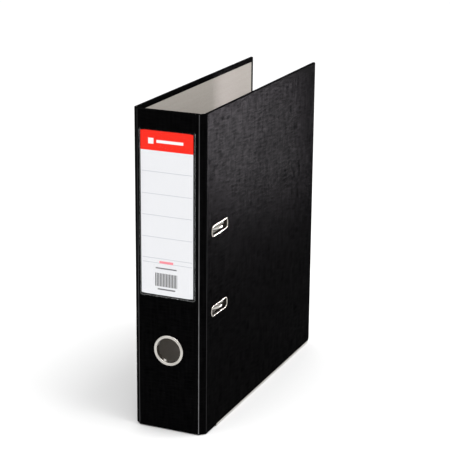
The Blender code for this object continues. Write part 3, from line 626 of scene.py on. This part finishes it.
def wrap_levels(wall, steps=5):
    """(inset, drop, run) of the foil round a board's edge, from the outer face to the lip's end."""
    radius = min(EDGE_RADIUS, 0.45 * wall)
    turns = [QUARTER * i / steps for i in range(steps + 1)]
    levels = [(radius + FLAT_LEAD, 0.0, 0.0)]
    levels += [
        (radius * (1 - math.sin(a)), radius * (1 - math.cos(a)), FLAT_LEAD + radius * a) for a in turns
    ]
    run = FLAT_LEAD + radius * QUARTER + wall - 2 * radius
    levels += [
        (radius * (1 - math.cos(a)), wall - radius * (1 - math.sin(a)), run + radius * a) for a in turns
    ]
    levels.append((TURN_IN, wall, levels[-1][2] + TURN_IN - radius))
    return levels


# Strengths of the light grey painted highlight on the foil: faint at the board edges, where it also stands
# for scuffing, full on the crease beside the spine and weaker on a cover's crease
EDGE_WEAR_AND_HIGHLIGHT = [0.0, 0.0, 0.01, 0.03, 0.03, 0.01, 0.0] * 2  # at the wrap's levels
BACK_HINGE_HIGHLIGHT = 0.4  # the painted highlight on the back hinge's creases is dimmer than on the front one
COVER_CREASE_HIGHLIGHT = 0.12


def hinge_stations(crease_steps=6, band_steps=14):
    """(x, y, normal, wall, run, painted crease highlight) along the front hinge in plan, from the spine
    onto the cover.
    """
    reach = CREASE_RADIUS * math.tan(math.radians(22.5))
    stations = []

    def add(x, y, angle, wall, wear_and_highlight):
        run = PANEL_HALF - SEAM_REACH
        if stations:
            last = stations[-1]
            run = last[4] + math.hypot(x - last[0], y - last[1])
        normal = Vector((math.cos(angle), math.sin(angle), 0.0))
        stations.append((x, y, normal, wall, run, wear_and_highlight))

    def crease(centre, start, end, wall_start, wall_end, wear_and_highlight):
        for i in range(crease_steps + 1):
            share = i / crease_steps
            angle = start + (end - start) * share
            point = centre + CREASE_RADIUS * Vector((math.cos(angle), math.sin(angle)))
            wall = wall_start + (wall_end - wall_start) * eased(share)
            add(point.x, point.y, angle, wall, wear_and_highlight * math.sin(math.pi * share) ** 0.5)

    facing_spine, slant, facing_cover = -QUARTER, -QUARTER / 2, 0.0
    on_spine = Vector((PANEL_HALF, SPINE_Y))
    on_cover = Vector((HALF, SPINE_Y + HINGE_LEG))
    flat_steps = (SEAM_REACH, 1.6 * MM, 0.9 * MM)
    for offset in flat_steps:
        add(on_spine.x - offset, SPINE_Y, facing_spine, WALL, 0.0)
    centre = Vector((on_spine.x - reach, SPINE_Y + CREASE_RADIUS))
    # The crease beside the spine gets the full painted highlight
    crease(centre, facing_spine, slant, WALL, HINGE_WALL, 1.0)
    start = on_spine + Vector((DIAGONAL, DIAGONAL)) * reach
    end = on_cover - Vector((DIAGONAL, DIAGONAL)) * reach
    for i in range(1, band_steps):
        share = i / band_steps
        hollow = HINGE_HOLLOW * math.sin(math.pi * share) ** 2
        point = start.lerp(end, share) + Vector((-DIAGONAL, DIAGONAL)) * hollow
        add(point.x, point.y, slant, HINGE_WALL, 0.0)
    centre = Vector((HALF - CREASE_RADIUS, on_cover.y + reach))
    crease(centre, slant, facing_cover, HINGE_WALL, WALL, COVER_CREASE_HIGHLIGHT)
    for offset in flat_steps[::-1]:
        add(HALF, on_cover.y + offset, facing_cover, WALL, 0.0)
    return stations


STATIONS = hinge_stations()


def foil_section(x, y, normal, wall, run, wear_and_highlight, side=1):
    """One upright section of wrapped foil: its points, its unrolled places and its painted highlight and
    scuffing values.
    """
    levels = wrap_levels(wall)
    base = levels[0][0]
    rows = list(zip(levels, EDGE_WEAR_AND_HIGHLIGHT))
    points, uvs, wear_and_highlight_values = [], [], []
    for z, inward, row in [(HIGH_Z, -1, row) for row in rows[::-1]] + [(LOW_Z, 1, row) for row in rows]:
        (inset, drop, out), edge = row
        place = Vector((x, y, z + inward * inset)) - normal * drop
        points.append(Vector((side * place.x, place.y, place.z)))
        uvs.append((side * run, z + inward * (base - out)))
        # Painted highlight on a hinge's creases, dimmer on the back hinge; the board edges keep their
        # scuffing and painted highlight values
        crease_highlight = wear_and_highlight * (1.0 if side > 0 else BACK_HINGE_HIGHLIGHT) if drop == 0.0 else 0.0
        wear_and_highlight_values.append(max(edge, crease_highlight))
    return points, uvs, wear_and_highlight_values


def foil_strip(name, sections, towards):
    rings, uvs, wear_and_highlight_values = zip(*sections)
    uvs = [uv for ring in uvs for uv in ring]
    wear_and_highlight_values = [w for ring in wear_and_highlight_values for w in ring]
    strip = loft(name, rings, closed_rings=False, uvs=uvs, wear_and_highlight=wear_and_highlight_values)
    return bake(solidify(turn_out(strip, towards), FOIL))


def cover_foil(name, side, steps=8):
    """A cover's foil: outer face, rounded edges and turned-in lips on its three free sides."""
    start = COVER_LOW.y + SEAM_REACH
    levels = wrap_levels(WALL)
    run_start = STATIONS[-1][4]

    def outline(inset):
        high, far = HIGH_Z - inset, FAR_Y - inset
        low = LOW_Z + inset
        bottom, top = max(CORNER_BOTTOM - inset, 0.0), max(CORNER_TOP - inset, 0.0)
        points = [(start, low)] + arc((far - bottom, low + bottom), bottom, -90, 0, steps)
        return points + arc((far - top, high - top), top, 0, 90, steps) + [(start, high)]

    face = outline(levels[0][0])
    outward = arc((0, 0), 1.0, -90, 0, steps) + arc((0, 0), 1.0, 0, 90, steps)
    outward = [(0.0, -1.0)] + outward + [(0.0, 1.0)]
    rings, uvs, wear_and_highlight_values = [], [], []
    # The board edges get their scuffing and faint painted highlight values
    for (inset, drop, out), wear_and_highlight in zip(levels, EDGE_WEAR_AND_HIGHLIGHT):
        rings.append([(side * (HALF - drop), y, z) for y, z in outline(inset)])
        for (fy, fz), (oy, oz) in zip(face, outward):
            uvs.append((side * (run_start + fy + oy * out - start), fz + oz * out))
            wear_and_highlight_values.append(wear_and_highlight)
    cover = loft(name, rings, closed_rings=False, capped=(0,), uvs=uvs, wear_and_highlight=wear_and_highlight_values)
    return bake(solidify(turn_out(cover, (side, 0, 0)), FOIL))


def slot_outline(z, grow, steps=8):
    low = (depth(SLOT_DEPTH) - SLOT_LENGTH / 2 - grow, z - SLOT_HEIGHT / 2 - grow)
    high = (depth(SLOT_DEPTH) + SLOT_LENGTH / 2 + grow, z + SLOT_HEIGHT / 2 + grow)
    return rounded(low, high, SLOT_CORNER + grow, steps)


def build_covers():
    front = cover_foil("front_cover_foil", 1)
    holes = [
        slab(f"slot_cutter_{place}", slot_outline(z, EYELET_SHEET + GAP), "x", INNER_X - MM, HALF + MM)
        for place, z in SLOT_Z.items()
    ]
    bake(combine(front, "DIFFERENCE", *holes))
    finish_piece(front, FOIL_LOOK, "front_cover_skin", "front_cover")
    back = cover_foil("back_cover_foil", -1)
    holes = [
        drill(f"rivet_cutter_{i}", RIVET_HOLE, 0, 5 * MM, "x", (-HALF - MM, y, z), 16)
        for i, (y, z) in enumerate(RIVETS)
    ]
    bake(combine(back, "DIFFERENCE", *holes))
    finish_piece(back, FOIL_LOOK, "back_cover_skin", "back_cover")


def build_spine():
    half = PANEL_HALF - SEAM_REACH
    outwards = Vector((0, -1, 0))
    sections = [foil_section(x, SPINE_Y, outwards, WALL, x, 0.0) for x in (-half, 0.0, half)]
    spine = foil_strip("spine_foil", sections, outwards)
    hole = drill("ring_cutter", RING_HOLE, 0, 6 * MM, "y", (0, SPINE_Y - MM, RING_CENTRE_Z), 64)
    bake(combine(spine, "DIFFERENCE", hole))
    finish_piece(spine, FOIL_LOOK, "spine_skin", "spine")


# Each hinge's side, and the bodies it joins, the one nearer the back cover first
HINGES = {
    "front": (1, ("spine", "front_cover")),
    "back": (-1, ("back_cover", "spine")),
}


def build_hinges():
    """Foil and lining of the two flexible hinges, between the bodies on either side and attached to
    neither.
    """
    for name, (side, bodies) in HINGES.items():
        sections = [foil_section(*station, side=side) for station in STATIONS]
        foil = foil_strip(f"{name}_hinge_foil", sections, (side, -1, 0))
        for vertex in foil.data.vertices:  # the tight folds at both ends stay level with the covers
            vertex.co.z = min(max(vertex.co.z, LOW_Z), HIGH_Z)
        finish_piece(foil, FOIL_LOOK, f"{name}_hinge_skin")
        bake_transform(foil)

        lining = hinge_lining(f"{name}_hinge_paper", side)
        finish_piece(lining, PAPER_LOOK, f"{name}_hinge_lining")
        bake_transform(lining)


def hinge_lining(name, side, steps=18):
    """Paper that dips into the groove between the spine's lining and a cover's."""
    length = HINGE_LEG * math.sqrt(2)
    top, dip, sheet = 2.30 * MM, 1.15 * MM, 0.3 * MM
    margin = TURN_IN + 0.15 * MM
    rings = []
    for i in range(steps + 1):
        turn = math.pi * i / steps
        along = length / 2 - (length / 2 - LINING_INSET) * math.cos(turn)
        inward = top - dip * math.sin(turn) ** 0.7
        x = PANEL_HALF + (along - inward) * DIAGONAL
        y = SPINE_Y + (along + inward) * DIAGONAL
        rings.append([Vector((side * x, y, z)) for z in (LOW_Z + margin, HIGH_Z - margin)])
    lining = loft(name, rings, closed_rings=False)
    return bake(solidify(turn_out(lining, (-side, 1, 0)), sheet))


def rolled_bead(inner, half_width, base, rise, fullness, steps):
    """(radius, height) points over a half-round bead."""
    turns = [math.pi * i / steps for i in range(steps + 1)]
    return [(inner + half_width * (1 - math.cos(a)), base + rise * math.sin(a) ** fullness) for a in turns]


def build_ring():
    """Turned finger ring with a smooth bead, and the plain ring set against it inside."""
    seat, taper = 0.05 * MM, 0.15 * MM
    tube_end = WALL + GAP + RING_SHEET
    tube_outer = RING_BORE + RING_SHEET
    profile = [(RING_BORE, tube_end - taper)]
    profile += rolled_bead(RING_BORE, (RING_OUTER - RING_BORE) / 2, -seat, seat - RING_PROUD, 0.85, 16)
    profile += [(tube_outer, -seat), (tube_outer, tube_end - taper), (RING_BORE + 0.3 * MM, tube_end)]
    front = turned("finger_ring_bead", profile, "y", (0, SPINE_Y, RING_CENTRE_Z), 96)
    finish_piece(bake(front), NICKEL_LOOK, "finger_ring_front", "spine")
    inner, thick, ease = tube_outer + GAP, RING_SHEET, 0.12 * MM
    washer = [(inner, 0), (inner, thick - ease), (inner + ease, thick), (RING_OUTER - ease, thick)]
    washer += [(RING_OUTER, thick - ease), (RING_OUTER, 0)]
    back = turned("finger_ring_washer", washer, "y", (0, SPINE_Y + WALL + GAP, RING_CENTRE_Z), 96)
    finish_piece(bake(back), STEEL_LOOK, "finger_ring_back", "spine")


def build_card(columns=12):
    """Printed card, bowed a little towards the pocket's front."""
    low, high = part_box("label_card")
    bow, corner = 0.06 * MM, 0.5 * MM
    rings = []
    for i in range(columns + 1):
        share = i / columns
        x = low.x + (high.x - low.x) * share
        out = bow * math.sin(math.pi * share)
        ease = corner if i in (0, columns) else 0.0
        z0, z1 = low.z + ease, high.z - ease
        corners = ((low.y, z0), (high.y, z0), (high.y, z1), (low.y, z1))
        rings.append([Vector((x, y - out, z)) for y, z in corners])
    card = loft("label_card_print", rings, capped=BOTH_ENDS)
    finish_piece(bake(card), LABEL_LOOK, "label_card", "spine")


def build_pocket():
    """Clear pocket of two films with welded edges and an open top."""
    low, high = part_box("label_pocket")
    corner = 1.4 * MM
    border = rounded((low.x, low.z), (high.x, high.z), corner)
    front = slab("pocket_front", border, "y", low.y, low.y + FILM_SHEET)
    back = slab("pocket_back", border, "y", high.y - FILM_SHEET, high.y)
    left, right, bottom, top = low.x + FILM_WELD, high.x - FILM_WELD, low.z + FILM_WELD, high.z - FILM_WELD
    inner = rounded((left, bottom), (right, top), corner - FILM_WELD / 2)
    near = low.y + 0.02 * MM
    pairs = [(*a, *b) for a, b in zip(border, inner)]
    rings = []
    for y, share in ((low.y, 0.5), (near, 0.0), (high.y, 0.0), (high.y, 1.0), (near, 1.0)):
        rings.append([(u + (iu - u) * share, y, v + (iv - v) * share) for u, v, iu, iv in pairs])
    pocket = loft("label_pocket_film", rings, closed_loft=True)
    mouth_low, mouth_high = top - FILM_WELD, high.z + MM
    mouth = [(left, mouth_low), (right, mouth_low), (right, mouth_high), (left, mouth_high)]
    opening = slab("pocket_mouth", mouth, "y", low.y + FILM_SHEET, high.y - FILM_SHEET)
    combine(pocket, "DIFFERENCE", opening)
    combine(pocket, "UNION", front, back)
    finish_piece(bake(pocket), FILM_LOOK, "label_pocket", "spine")


def build_slots():
    """Rolled nickel eyelets through the front cover, each set against a flat ring inside."""
    collar_end = INNER_X - GAP - EYELET_SHEET
    proud, seat, ease = 0.8 * MM, 0.03 * MM, 0.1 * MM
    rim = [(0.0, collar_end + ease)]
    rim += rolled_bead(0.0, RIM_WIDTH / 2, HALF + seat, proud - seat, 0.8, 12)
    rim += [(EYELET_SHEET, HALF + seat), (EYELET_SHEET, collar_end + ease), (EYELET_SHEET / 2, collar_end)]
    near, far = EYELET_SHEET + GAP, EYELET_FLANGE
    ring = [(near, collar_end + ease), (near + ease, collar_end), (far - ease, collar_end)]
    ring_top = collar_end + EYELET_SHEET
    ring += [(far, collar_end + ease), (far, ring_top), (near, ring_top)]
    for place, z in SLOT_Z.items():
        for name, shape, look, node in (
            ("slot_rim", rim, EYELET_LOOK, "slot_eyelet"),
            ("slot_ring", ring, STEEL_LOOK, "slot_backing"),
        ):
            rings = [[(x, y, w) for y, w in slot_outline(z, grow, 12)] for grow, x in shape]
            obj = loft(f"{name}_{place}", rings, closed_loft=True)
            finish_piece(bake(obj), look, f"{node}_{place}", "front_cover")


def build_rails():
    """Pressed nickel rails round the covers' lower edges, open at both ends."""
    sheet, fold, lip = 0.4 * MM, 0.9 * MM, 0.15 * MM
    taper, lift = 0.8 * MM, 0.12 * MM  # a rail's ends are drawn up a little
    for name, body in (("front", "front_cover"), ("back", "back_cover")):
        low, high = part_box(f"{name}_edge_rail")
        left, right = (low.x + fold, low.z + fold), (high.x - fold, low.z + fold)
        section = [(low.x + lip, high.z), (low.x, high.z - lip)]
        section += arc(left, fold, 180, 270, 6) + arc(right, fold, 270, 360, 6)
        section += [(high.x, high.z - lip), (high.x - lip, high.z), (high.x - sheet, high.z)]
        section += arc(right, fold - sheet, 360, 270, 6) + arc(left, fold - sheet, 270, 180, 6)
        section += [(low.x + sheet, high.z)]
        rings = []
        for y, rise in ((low.y, lift), (low.y + taper, 0.0), (high.y - taper, 0.0), (high.y, lift)):
            rings.append([(x, y, z + rise if z < low.z + fold else z) for x, z in section])
        rail = loft(f"{name}_rail_nickel", rings, capped=BOTH_ENDS)
        finish_piece(bake(rail), NICKEL_LOOK, f"{name}_edge_rail", body)


# ---------------- mechanism


def build_arch():
    """One bent wire: two arches, the rod between their legs, and the crank under the roller."""
    top_z, low_z = ARCH_Z["upper"], ARCH_Z["lower"]
    crank_top, crank_low = CRANK_Z + CRANK_HALF, CRANK_Z - CRANK_HALF

    def arch(z):
        curve = arc((ARCH_X, ROD_Y + ARCH_RADIUS), ARCH_RADIUS, 90, -90, 40)
        points = [(SCARF_X, POST_Y, z), (SCARF_X + 2 * WIRE, POST_Y, z)]
        return [Vector(p) for p in points + [(x, y, z) for x, y in curve]]

    legs = [(ARCH_X - WIRE_BEND, ROD_Y, top_z), (ROD_X, ROD_Y, top_z), (ROD_X, ROD_Y, crank_top)]
    legs += [(ROD_X, CRANK_Y, crank_top), (ROD_X, CRANK_Y, crank_low), (ROD_X, ROD_Y, crank_low)]
    legs += [(ROD_X, ROD_Y, low_z), (ARCH_X - WIRE_BEND, ROD_Y, low_z)]
    rings = tube(arch(top_z) + bent(legs, WIRE_BEND) + arch(low_z)[::-1], WIRE, 24)
    gap = GAP * math.sqrt(2)
    for ring in (rings[0], rings[-1]):  # the tips' 45 degree cuts
        for point in ring:
            point.x = SCARF_X + gap + (point.y - POST_Y)
    wire = loft("arch_wire_bent", rings, capped=BOTH_ENDS)
    finish_piece(bake(wire), NICKEL_LOOK, "arch_wire", "arch")


def build_posts():
    """Fixed posts with a flared foot, cut at 45 degrees where the arch's tips meet them."""
    foot = PLATE_TOP + GAP
    radius, flare, sides = 2.5 * MM, 4.5 * MM, 32
    profile = [(0.0, foot), (flare - 0.2 * MM, foot), (flare, foot + 0.2 * MM), (flare, foot + 0.7 * MM)]
    profile += [(flare - 0.3 * MM, foot + PLATE_SHEET), (radius + 0.5 * MM, foot + PLATE_SHEET)]
    profile += [(radius + 0.1 * MM, foot + 1.3 * MM), (radius, foot + 1.8 * MM), (radius, SCARF_X)]
    for place, z in ARCH_Z.items():
        rings = [[Vector((x, POST_Y + r * c, z + r * s)) for c, s in circle(sides)] for r, x in profile]
        for point in rings[-1]:
            point.x = SCARF_X + (point.y - POST_Y)
        rings.append([Vector((SCARF_X, POST_Y, z))] * sides)
        post = loft(f"post_{place}_turned", rings)
        finish_piece(bake(post), NICKEL_LOOK, f"post_{place}", "back_cover")


def build_rivets():
    """Rivets with a low dome at both ends, through the back cover and the plate."""
    shank, head = 1.6 * MM, 3.6 * MM
    rim, dome, rise = 0.05 * MM, 0.75 * MM, 0.8 * MM
    under, seat = -HALF, PLATE_TOP + GAP
    turns = [QUARTER * i / 8 for i in range(9)]
    profile = [(0.0, under - rise)]
    profile += [(head * math.sin(a), under - rim - dome * math.cos(a) ** 0.6) for a in turns[1:]]
    profile += [(head, under), (shank, under), (shank, seat)]
    profile += [(head * math.cos(a), seat + rise * math.sin(a) ** 0.7) for a in turns[:-1]]
    profile.append((0.0, seat + rise))
    for i, (y, z) in enumerate(RIVETS):
        rivet = turned(f"rivet_{i + 1}", profile, "x", (0, y, z), 28, closed=False)
        finish_piece(bake(rivet), NICKEL_LOOK, f"mechanism_rivet_{i + 1}", "back_cover")


PLATE_SMOOTH = 50.0  # degrees, while the plate's parts are still apart
SUNK = PLATE_TOP - 0.5 * PLATE_SHEET  # half way into the plate, where the parts on it start


def rod_strap(z):
    """A strap bent over the arch's rod, and its two feet."""
    half, inside = 3.0 * MM, WIRE + GAP
    outside = inside + 0.9 * MM
    outline = [(SUNK, ROD_Y - outside)] + arc((ROD_X, ROD_Y), outside, -90, 90, 20)
    outline += [(SUNK, ROD_Y + outside), (SUNK, ROD_Y + inside)]
    outline += arc((ROD_X, ROD_Y), inside, 90, -90, 20) + [(SUNK, ROD_Y - inside)]
    parts = [bevel(slab(f"strap_{z:.3f}", outline, "z", z - half, z + half), 0.2 * MM)]
    foot_half, foot_rise = 2.0 * MM, 0.7 * MM
    for side in (-1, 1):
        y = ROD_Y + side * (outside + 1.6 * MM)
        outline = rounded((y - foot_half, z - half), (y + foot_half, z + half), MM, 4)
        foot = slab(f"strap_foot_{z:.3f}_{side}", outline, "x", SUNK, PLATE_TOP + foot_rise)
        parts.append(bevel(foot, 0.2 * MM))
    return [bake(part, PLATE_SMOOTH) for part in parts]


def lever_ear(side):
    """One of the two ears that hold the lever's pin."""
    near = LEVER_Y + side * (6.5 * MM + GAP)
    half, flare = 5.5 * MM, 1.5 * MM
    outline = [(SUNK, PIVOT_Z - half - flare), (PLATE_TOP + flare, PIVOT_Z - half)]
    outline += arc((PIVOT_X - MM, PIVOT_Z), half, -90, 90, 20)
    outline += [(PLATE_TOP + flare, PIVOT_Z + half), (SUNK, PIVOT_Z + half + flare)]
    ear = slab(f"ear_{side}", outline, "y", *sorted((near, near + side * MM)))
    return bake(bevel(ear, 0.15 * MM), PLATE_SMOOTH)


def plate_bead(y, z0, z1, half, rise, steps=6):
    """A long pressed bead with round ends, standing a little out of the plate."""
    rings = []
    for k in range(steps + 1):
        turn = QUARTER * k / steps
        shrink = half * (1 - math.cos(turn))
        x = PLATE_TOP + rise * math.sin(turn)
        r = max(half - shrink, 0.05 * half)
        outline = arc((y, z0 + half), r, 180, 360, 10) + arc((y, z1 - half), r, 0, 180, 10)
        rings.append([(x, u, v) for u, v in outline])
    rings.insert(0, [(SUNK, u, v) for _, u, v in rings[0]])
    return bake(loft("plate_bead", rings, capped=BOTH_ENDS), PLATE_SMOOTH)


def build_base_plate():
    """Pressed steel plate with a stiffening bead, two rod straps and the lever's ears."""
    outline = rounded((PLATE_LOW.y, PLATE_LOW.z), (PLATE_HIGH.y, PLATE_HIGH.z), 8.0 * MM)
    base = slab("mechanism_plate", outline, "x", PLATE_LOW.x, PLATE_TOP)
    bake(bevel(base, 0.25 * MM), PLATE_SMOOTH)
    strap_rise, bead_margin = 30.0 * MM, 12.0 * MM
    parts = rod_strap(MECH_Z + strap_rise) + rod_strap(MECH_Z - strap_rise)
    parts += [lever_ear(-1), lever_ear(1)]
    ends = (PLATE_LOW.z + bead_margin, PLATE_HIGH.z - bead_margin)
    parts.append(plate_bead(depth(49.2 * MM), *ends, half=1.7 * MM, rise=0.6 * MM))
    combine(base, "UNION", *parts)
    holes = [
        drill(f"plate_hole_{i}", RIVET_HOLE, 0, 4 * MM, "x", (PLATE_LOW.x - MM, y, z), 20)
        for i, (y, z) in enumerate(RIVETS)
    ]
    holes.append(drill("pin_hole", PIN_HOLE, -14 * MM, 14 * MM, "y", (PIVOT_X, LEVER_Y, PIVOT_Z)))
    combine(base, "DIFFERENCE", *holes)
    finish_piece(bake(base, 30), STEEL_LOOK, "base_plate", "back_cover")


def build_lever():
    """Pressed channel with a round finger end, drawn from one outline of falling skirts."""
    (_, near, tip), (top, far, head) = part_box("lever_handle")
    half, middle = (far - near) / 2, (near + far) / 2
    sheet, fold = 0.95 * MM, 1.6 * MM
    skirt, slim_skirt, tip_skirt = 7.4 * MM, 3.4 * MM, 2.6 * MM
    full, slim = PIVOT_Z - 27.0 * MM, PIVOT_Z - 40.0 * MM

    def skirt_at(z):
        if z >= full:
            return skirt
        if z >= slim:
            return slim_skirt + (skirt - slim_skirt) * eased((z - slim) / (full - slim))
        return tip_skirt + (slim_skirt - tip_skirt) * (z - tip) / (slim - tip)

    def outline(inset):
        sides = [head - (head - tip - half) * i / 24 for i in range(25)]
        points = [(near + inset, z) for z in sides[:-1]]
        points += arc((middle, tip + half), half - inset, 180, 360, 24)
        return points + [(far - inset, z) for z in sides[-2::-1]]

    rings = []
    for i in range(6):
        turn = QUARTER * i / 5
        x = top - fold * (1 - math.cos(turn))
        rings.append([(x, y, z) for y, z in outline(fold * (1 - math.sin(turn)))])
    rings.append([(top - skirt_at(z), y, z) for y, z in outline(0.0)])
    lever = loft("lever_pressed", rings, closed_rings=False, capped=(0,))
    bake(solidify(turn_out(lever, (1, 0, 0)), sheet))
    holes = [
        drill(name, radius, -10 * MM, 10 * MM, "y", (PIVOT_X, LEVER_Y, z))
        for name, z, radius in (("lever_hole", PIVOT_Z, PIN_HOLE), ("roller_hole", ROLLER_Z, ROLLER_BORE))
    ]
    combine(lever, "DIFFERENCE", *holes)
    finish_piece(bake(lever, 40), STEEL_LOOK, "lever_handle", "lever")


def build_pins():
    """The lever's headed pin, and the roller on its plain one."""
    low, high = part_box("lever_pin")
    start, end = (PIVOT_X, low.y, PIVOT_Z), (PIVOT_X, high.y, PIVOT_Z)
    pivot = pin("lever_pin_turned", 1.5 * MM, start, end, head=2.5 * MM, head_thick=0.8 * MM)
    finish_piece(bake(pivot), STEEL_LOOK, "lever_pin", "back_cover")
    low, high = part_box("roller_pin")
    axle = pin("roller_pin_turned", 0.9 * MM, (PIVOT_X, low.y, ROLLER_Z), (PIVOT_X, high.y, ROLLER_Z))
    finish_piece(bake(axle), STEEL_LOOK, "roller_pin", "lever")

    outer, end, ease = 3.1 * MM, 4.0 * MM, 0.4 * MM
    edge = [(ROLLER_BORE, -end), (outer - ease, -end), (outer, ease - end)]
    profile = edge + [(r, -h) for r, h in edge[::-1]]
    roller = turned("crank_roller_moulded", profile, "y", (PIVOT_X, LEVER_Y, ROLLER_Z), 40)
    finish_piece(bake(roller), PLASTIC_LOOK, "crank_roller", "roller")


def build_compressor():
    """Moulded bar with a raised rib along its back and a hole for each post."""
    low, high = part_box("compressor_bar")
    rib_rise, rib_margin, rib_end, bore = 0.5 * MM, 6.0 * MM, 22.0 * MM, 3.0 * MM
    outline = rounded((low.y, low.z), (high.y, high.z), 7.0 * MM)
    bar = slab("compressor_moulded", outline, "x", low.x, high.x - rib_rise)
    bake(bevel(bar, 0.4 * MM, 3), 50)
    rib_low, rib_high = (low.y + rib_margin, low.z + rib_end), (high.y - rib_margin, high.z - rib_end)
    rib = slab("compressor_rib", rounded(rib_low, rib_high, 1.9 * MM, 5), "x", low.x + MM, high.x)
    combine(bar, "UNION", bake(bevel(rib, 0.4 * MM, 3), 50))
    holes = [
        drill(f"bar_hole_{place}", bore, 0, 6 * MM, "x", (low.x - 2 * MM, POST_Y, z), 40)
        for place, z in ARCH_Z.items()
    ]
    combine(bar, "DIFFERENCE", *holes)
    finish_piece(bake(bar, 30), PLASTIC_LOOK, "compressor_bar", "compressor")


def dress_cad_nodes():
    """Materials of the CAD nodes that stay: boards, linings and the leaf spring."""
    looks = {"board": BOARD_LOOK, "lining": PAPER_LOOK, "spring": STEEL_LOOK}
    for name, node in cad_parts.items():
        ending = name.split("_")[-1]
        if ending in looks and not node.hide_render:
            node.data.materials.clear()
            node.data.materials.append(looks[ending][0])


# ---------------- studio

FLOOR_HALF = 12.0
HORIZON_LIGHT = 0.85
ZENITH_LIGHT = 1.50
FULL_LIGHT_AT = 0.8  # height on the unit sphere from which the light is the zenith's
WHITE = (1.0, 1.0, 1.0)
ROUND_LIGHT = 180.0

# Place, target, size, watts, spread in degrees and colour
SOFTBOXES = {
    "key_softbox": ((-0.9, -1.7, 1.3), (0, 0, HIGH_Z / 2), (0.9, 0.9), 1.0, ROUND_LIGHT, WHITE),
    "top_softbox": ((0.7, 0.0, 1.7), (0, 0, HIGH_Z / 2), (0.9, 0.9), 18.0, ROUND_LIGHT, WHITE),
    "rim_softbox": ((0.40, 0.513, 0.165), (HALF, -0.11, 0.29), (0.22, 0.20), 0.38, 28.0, (1.0, 0.93, 1.0)),
}

CAMERA_PLACE = (0.6084, -1.3930, 0.6282)
CAMERA_AZIMUTH, CAMERA_DOWN, CAMERA_ROLL = math.radians(23.73), math.radians(16.76), math.radians(0.43)
CAMERA_LENS, CAMERA_SENSOR = 124.15, 36.0  # millimetres


def build_floor():
    corners = [(FLOOR_HALF * x, FLOOR_HALF * y, 0) for x, y in ((-1, -1), (1, -1), (1, 1), (-1, 1))]
    floor = piece("studio_floor", corners, [[0, 1, 2, 3]])
    g = Graph("studio_floor_pale")
    tone = g.mix(g.noise(g.place(), 3.0, 2.0), (0.73, 0.73, 0.73), (0.75, 0.75, 0.75))
    floor.data.materials.append(g.set(Base_Color=tone, Roughness=0.9, Specular_IOR_Level=0.1))


def build_world():
    """Soft white light that grows from the horizon upwards."""
    g = Graph("studio_world", "worlds", "Background")
    height = g.parts(g.add("ShaderNodeTexCoord").outputs["Generated"])["Z"]
    strength = g.spread(height, 0.0, FULL_LIGHT_AT, HORIZON_LIGHT, ZENITH_LIGHT)
    bpy.context.scene.world = g.set(Color=WHITE, Strength=strength)


def build_softboxes():
    for name, (place, target, size, power, spread, colour) in SOFTBOXES.items():
        light = bpy.data.lights.new(name, "AREA")
        light.shape = "RECTANGLE"
        light.size, light.size_y = size
        light.energy = power
        light.spread = math.radians(spread)
        light.color = colour
        obj = bpy.data.objects.new(name, light)
        obj.location = place
        obj.rotation_euler = (Vector(target) - Vector(place)).to_track_quat("-Z", "Y").to_euler()
        bpy.context.scene.collection.objects.link(obj)


def build_camera():
    camera = bpy.data.cameras.new("camera")
    camera.sensor_width = CAMERA_SENSOR
    camera.lens = CAMERA_LENS
    camera.clip_start, camera.clip_end = 0.1, 60.0
    obj = bpy.data.objects.new("camera", camera)
    turn = Matrix.Rotation(CAMERA_AZIMUTH, 4, "Z") @ Matrix.Rotation(QUARTER - CAMERA_DOWN, 4, "X")
    obj.matrix_world = Matrix.Translation(CAMERA_PLACE) @ turn @ Matrix.Rotation(CAMERA_ROLL, 4, "Z")
    bpy.context.scene.collection.objects.link(obj)
    bpy.context.scene.camera = obj
    bpy.context.scene.view_settings.view_transform = "Standard"


build_covers()
build_spine()
build_hinges()
build_ring()
build_card()
build_pocket()
build_slots()
build_rails()
build_arch()
build_posts()
build_rivets()
build_base_plate()
build_lever()
build_pins()
build_compressor()
dress_cad_nodes()
build_floor()
build_world()
build_softboxes()
build_camera()
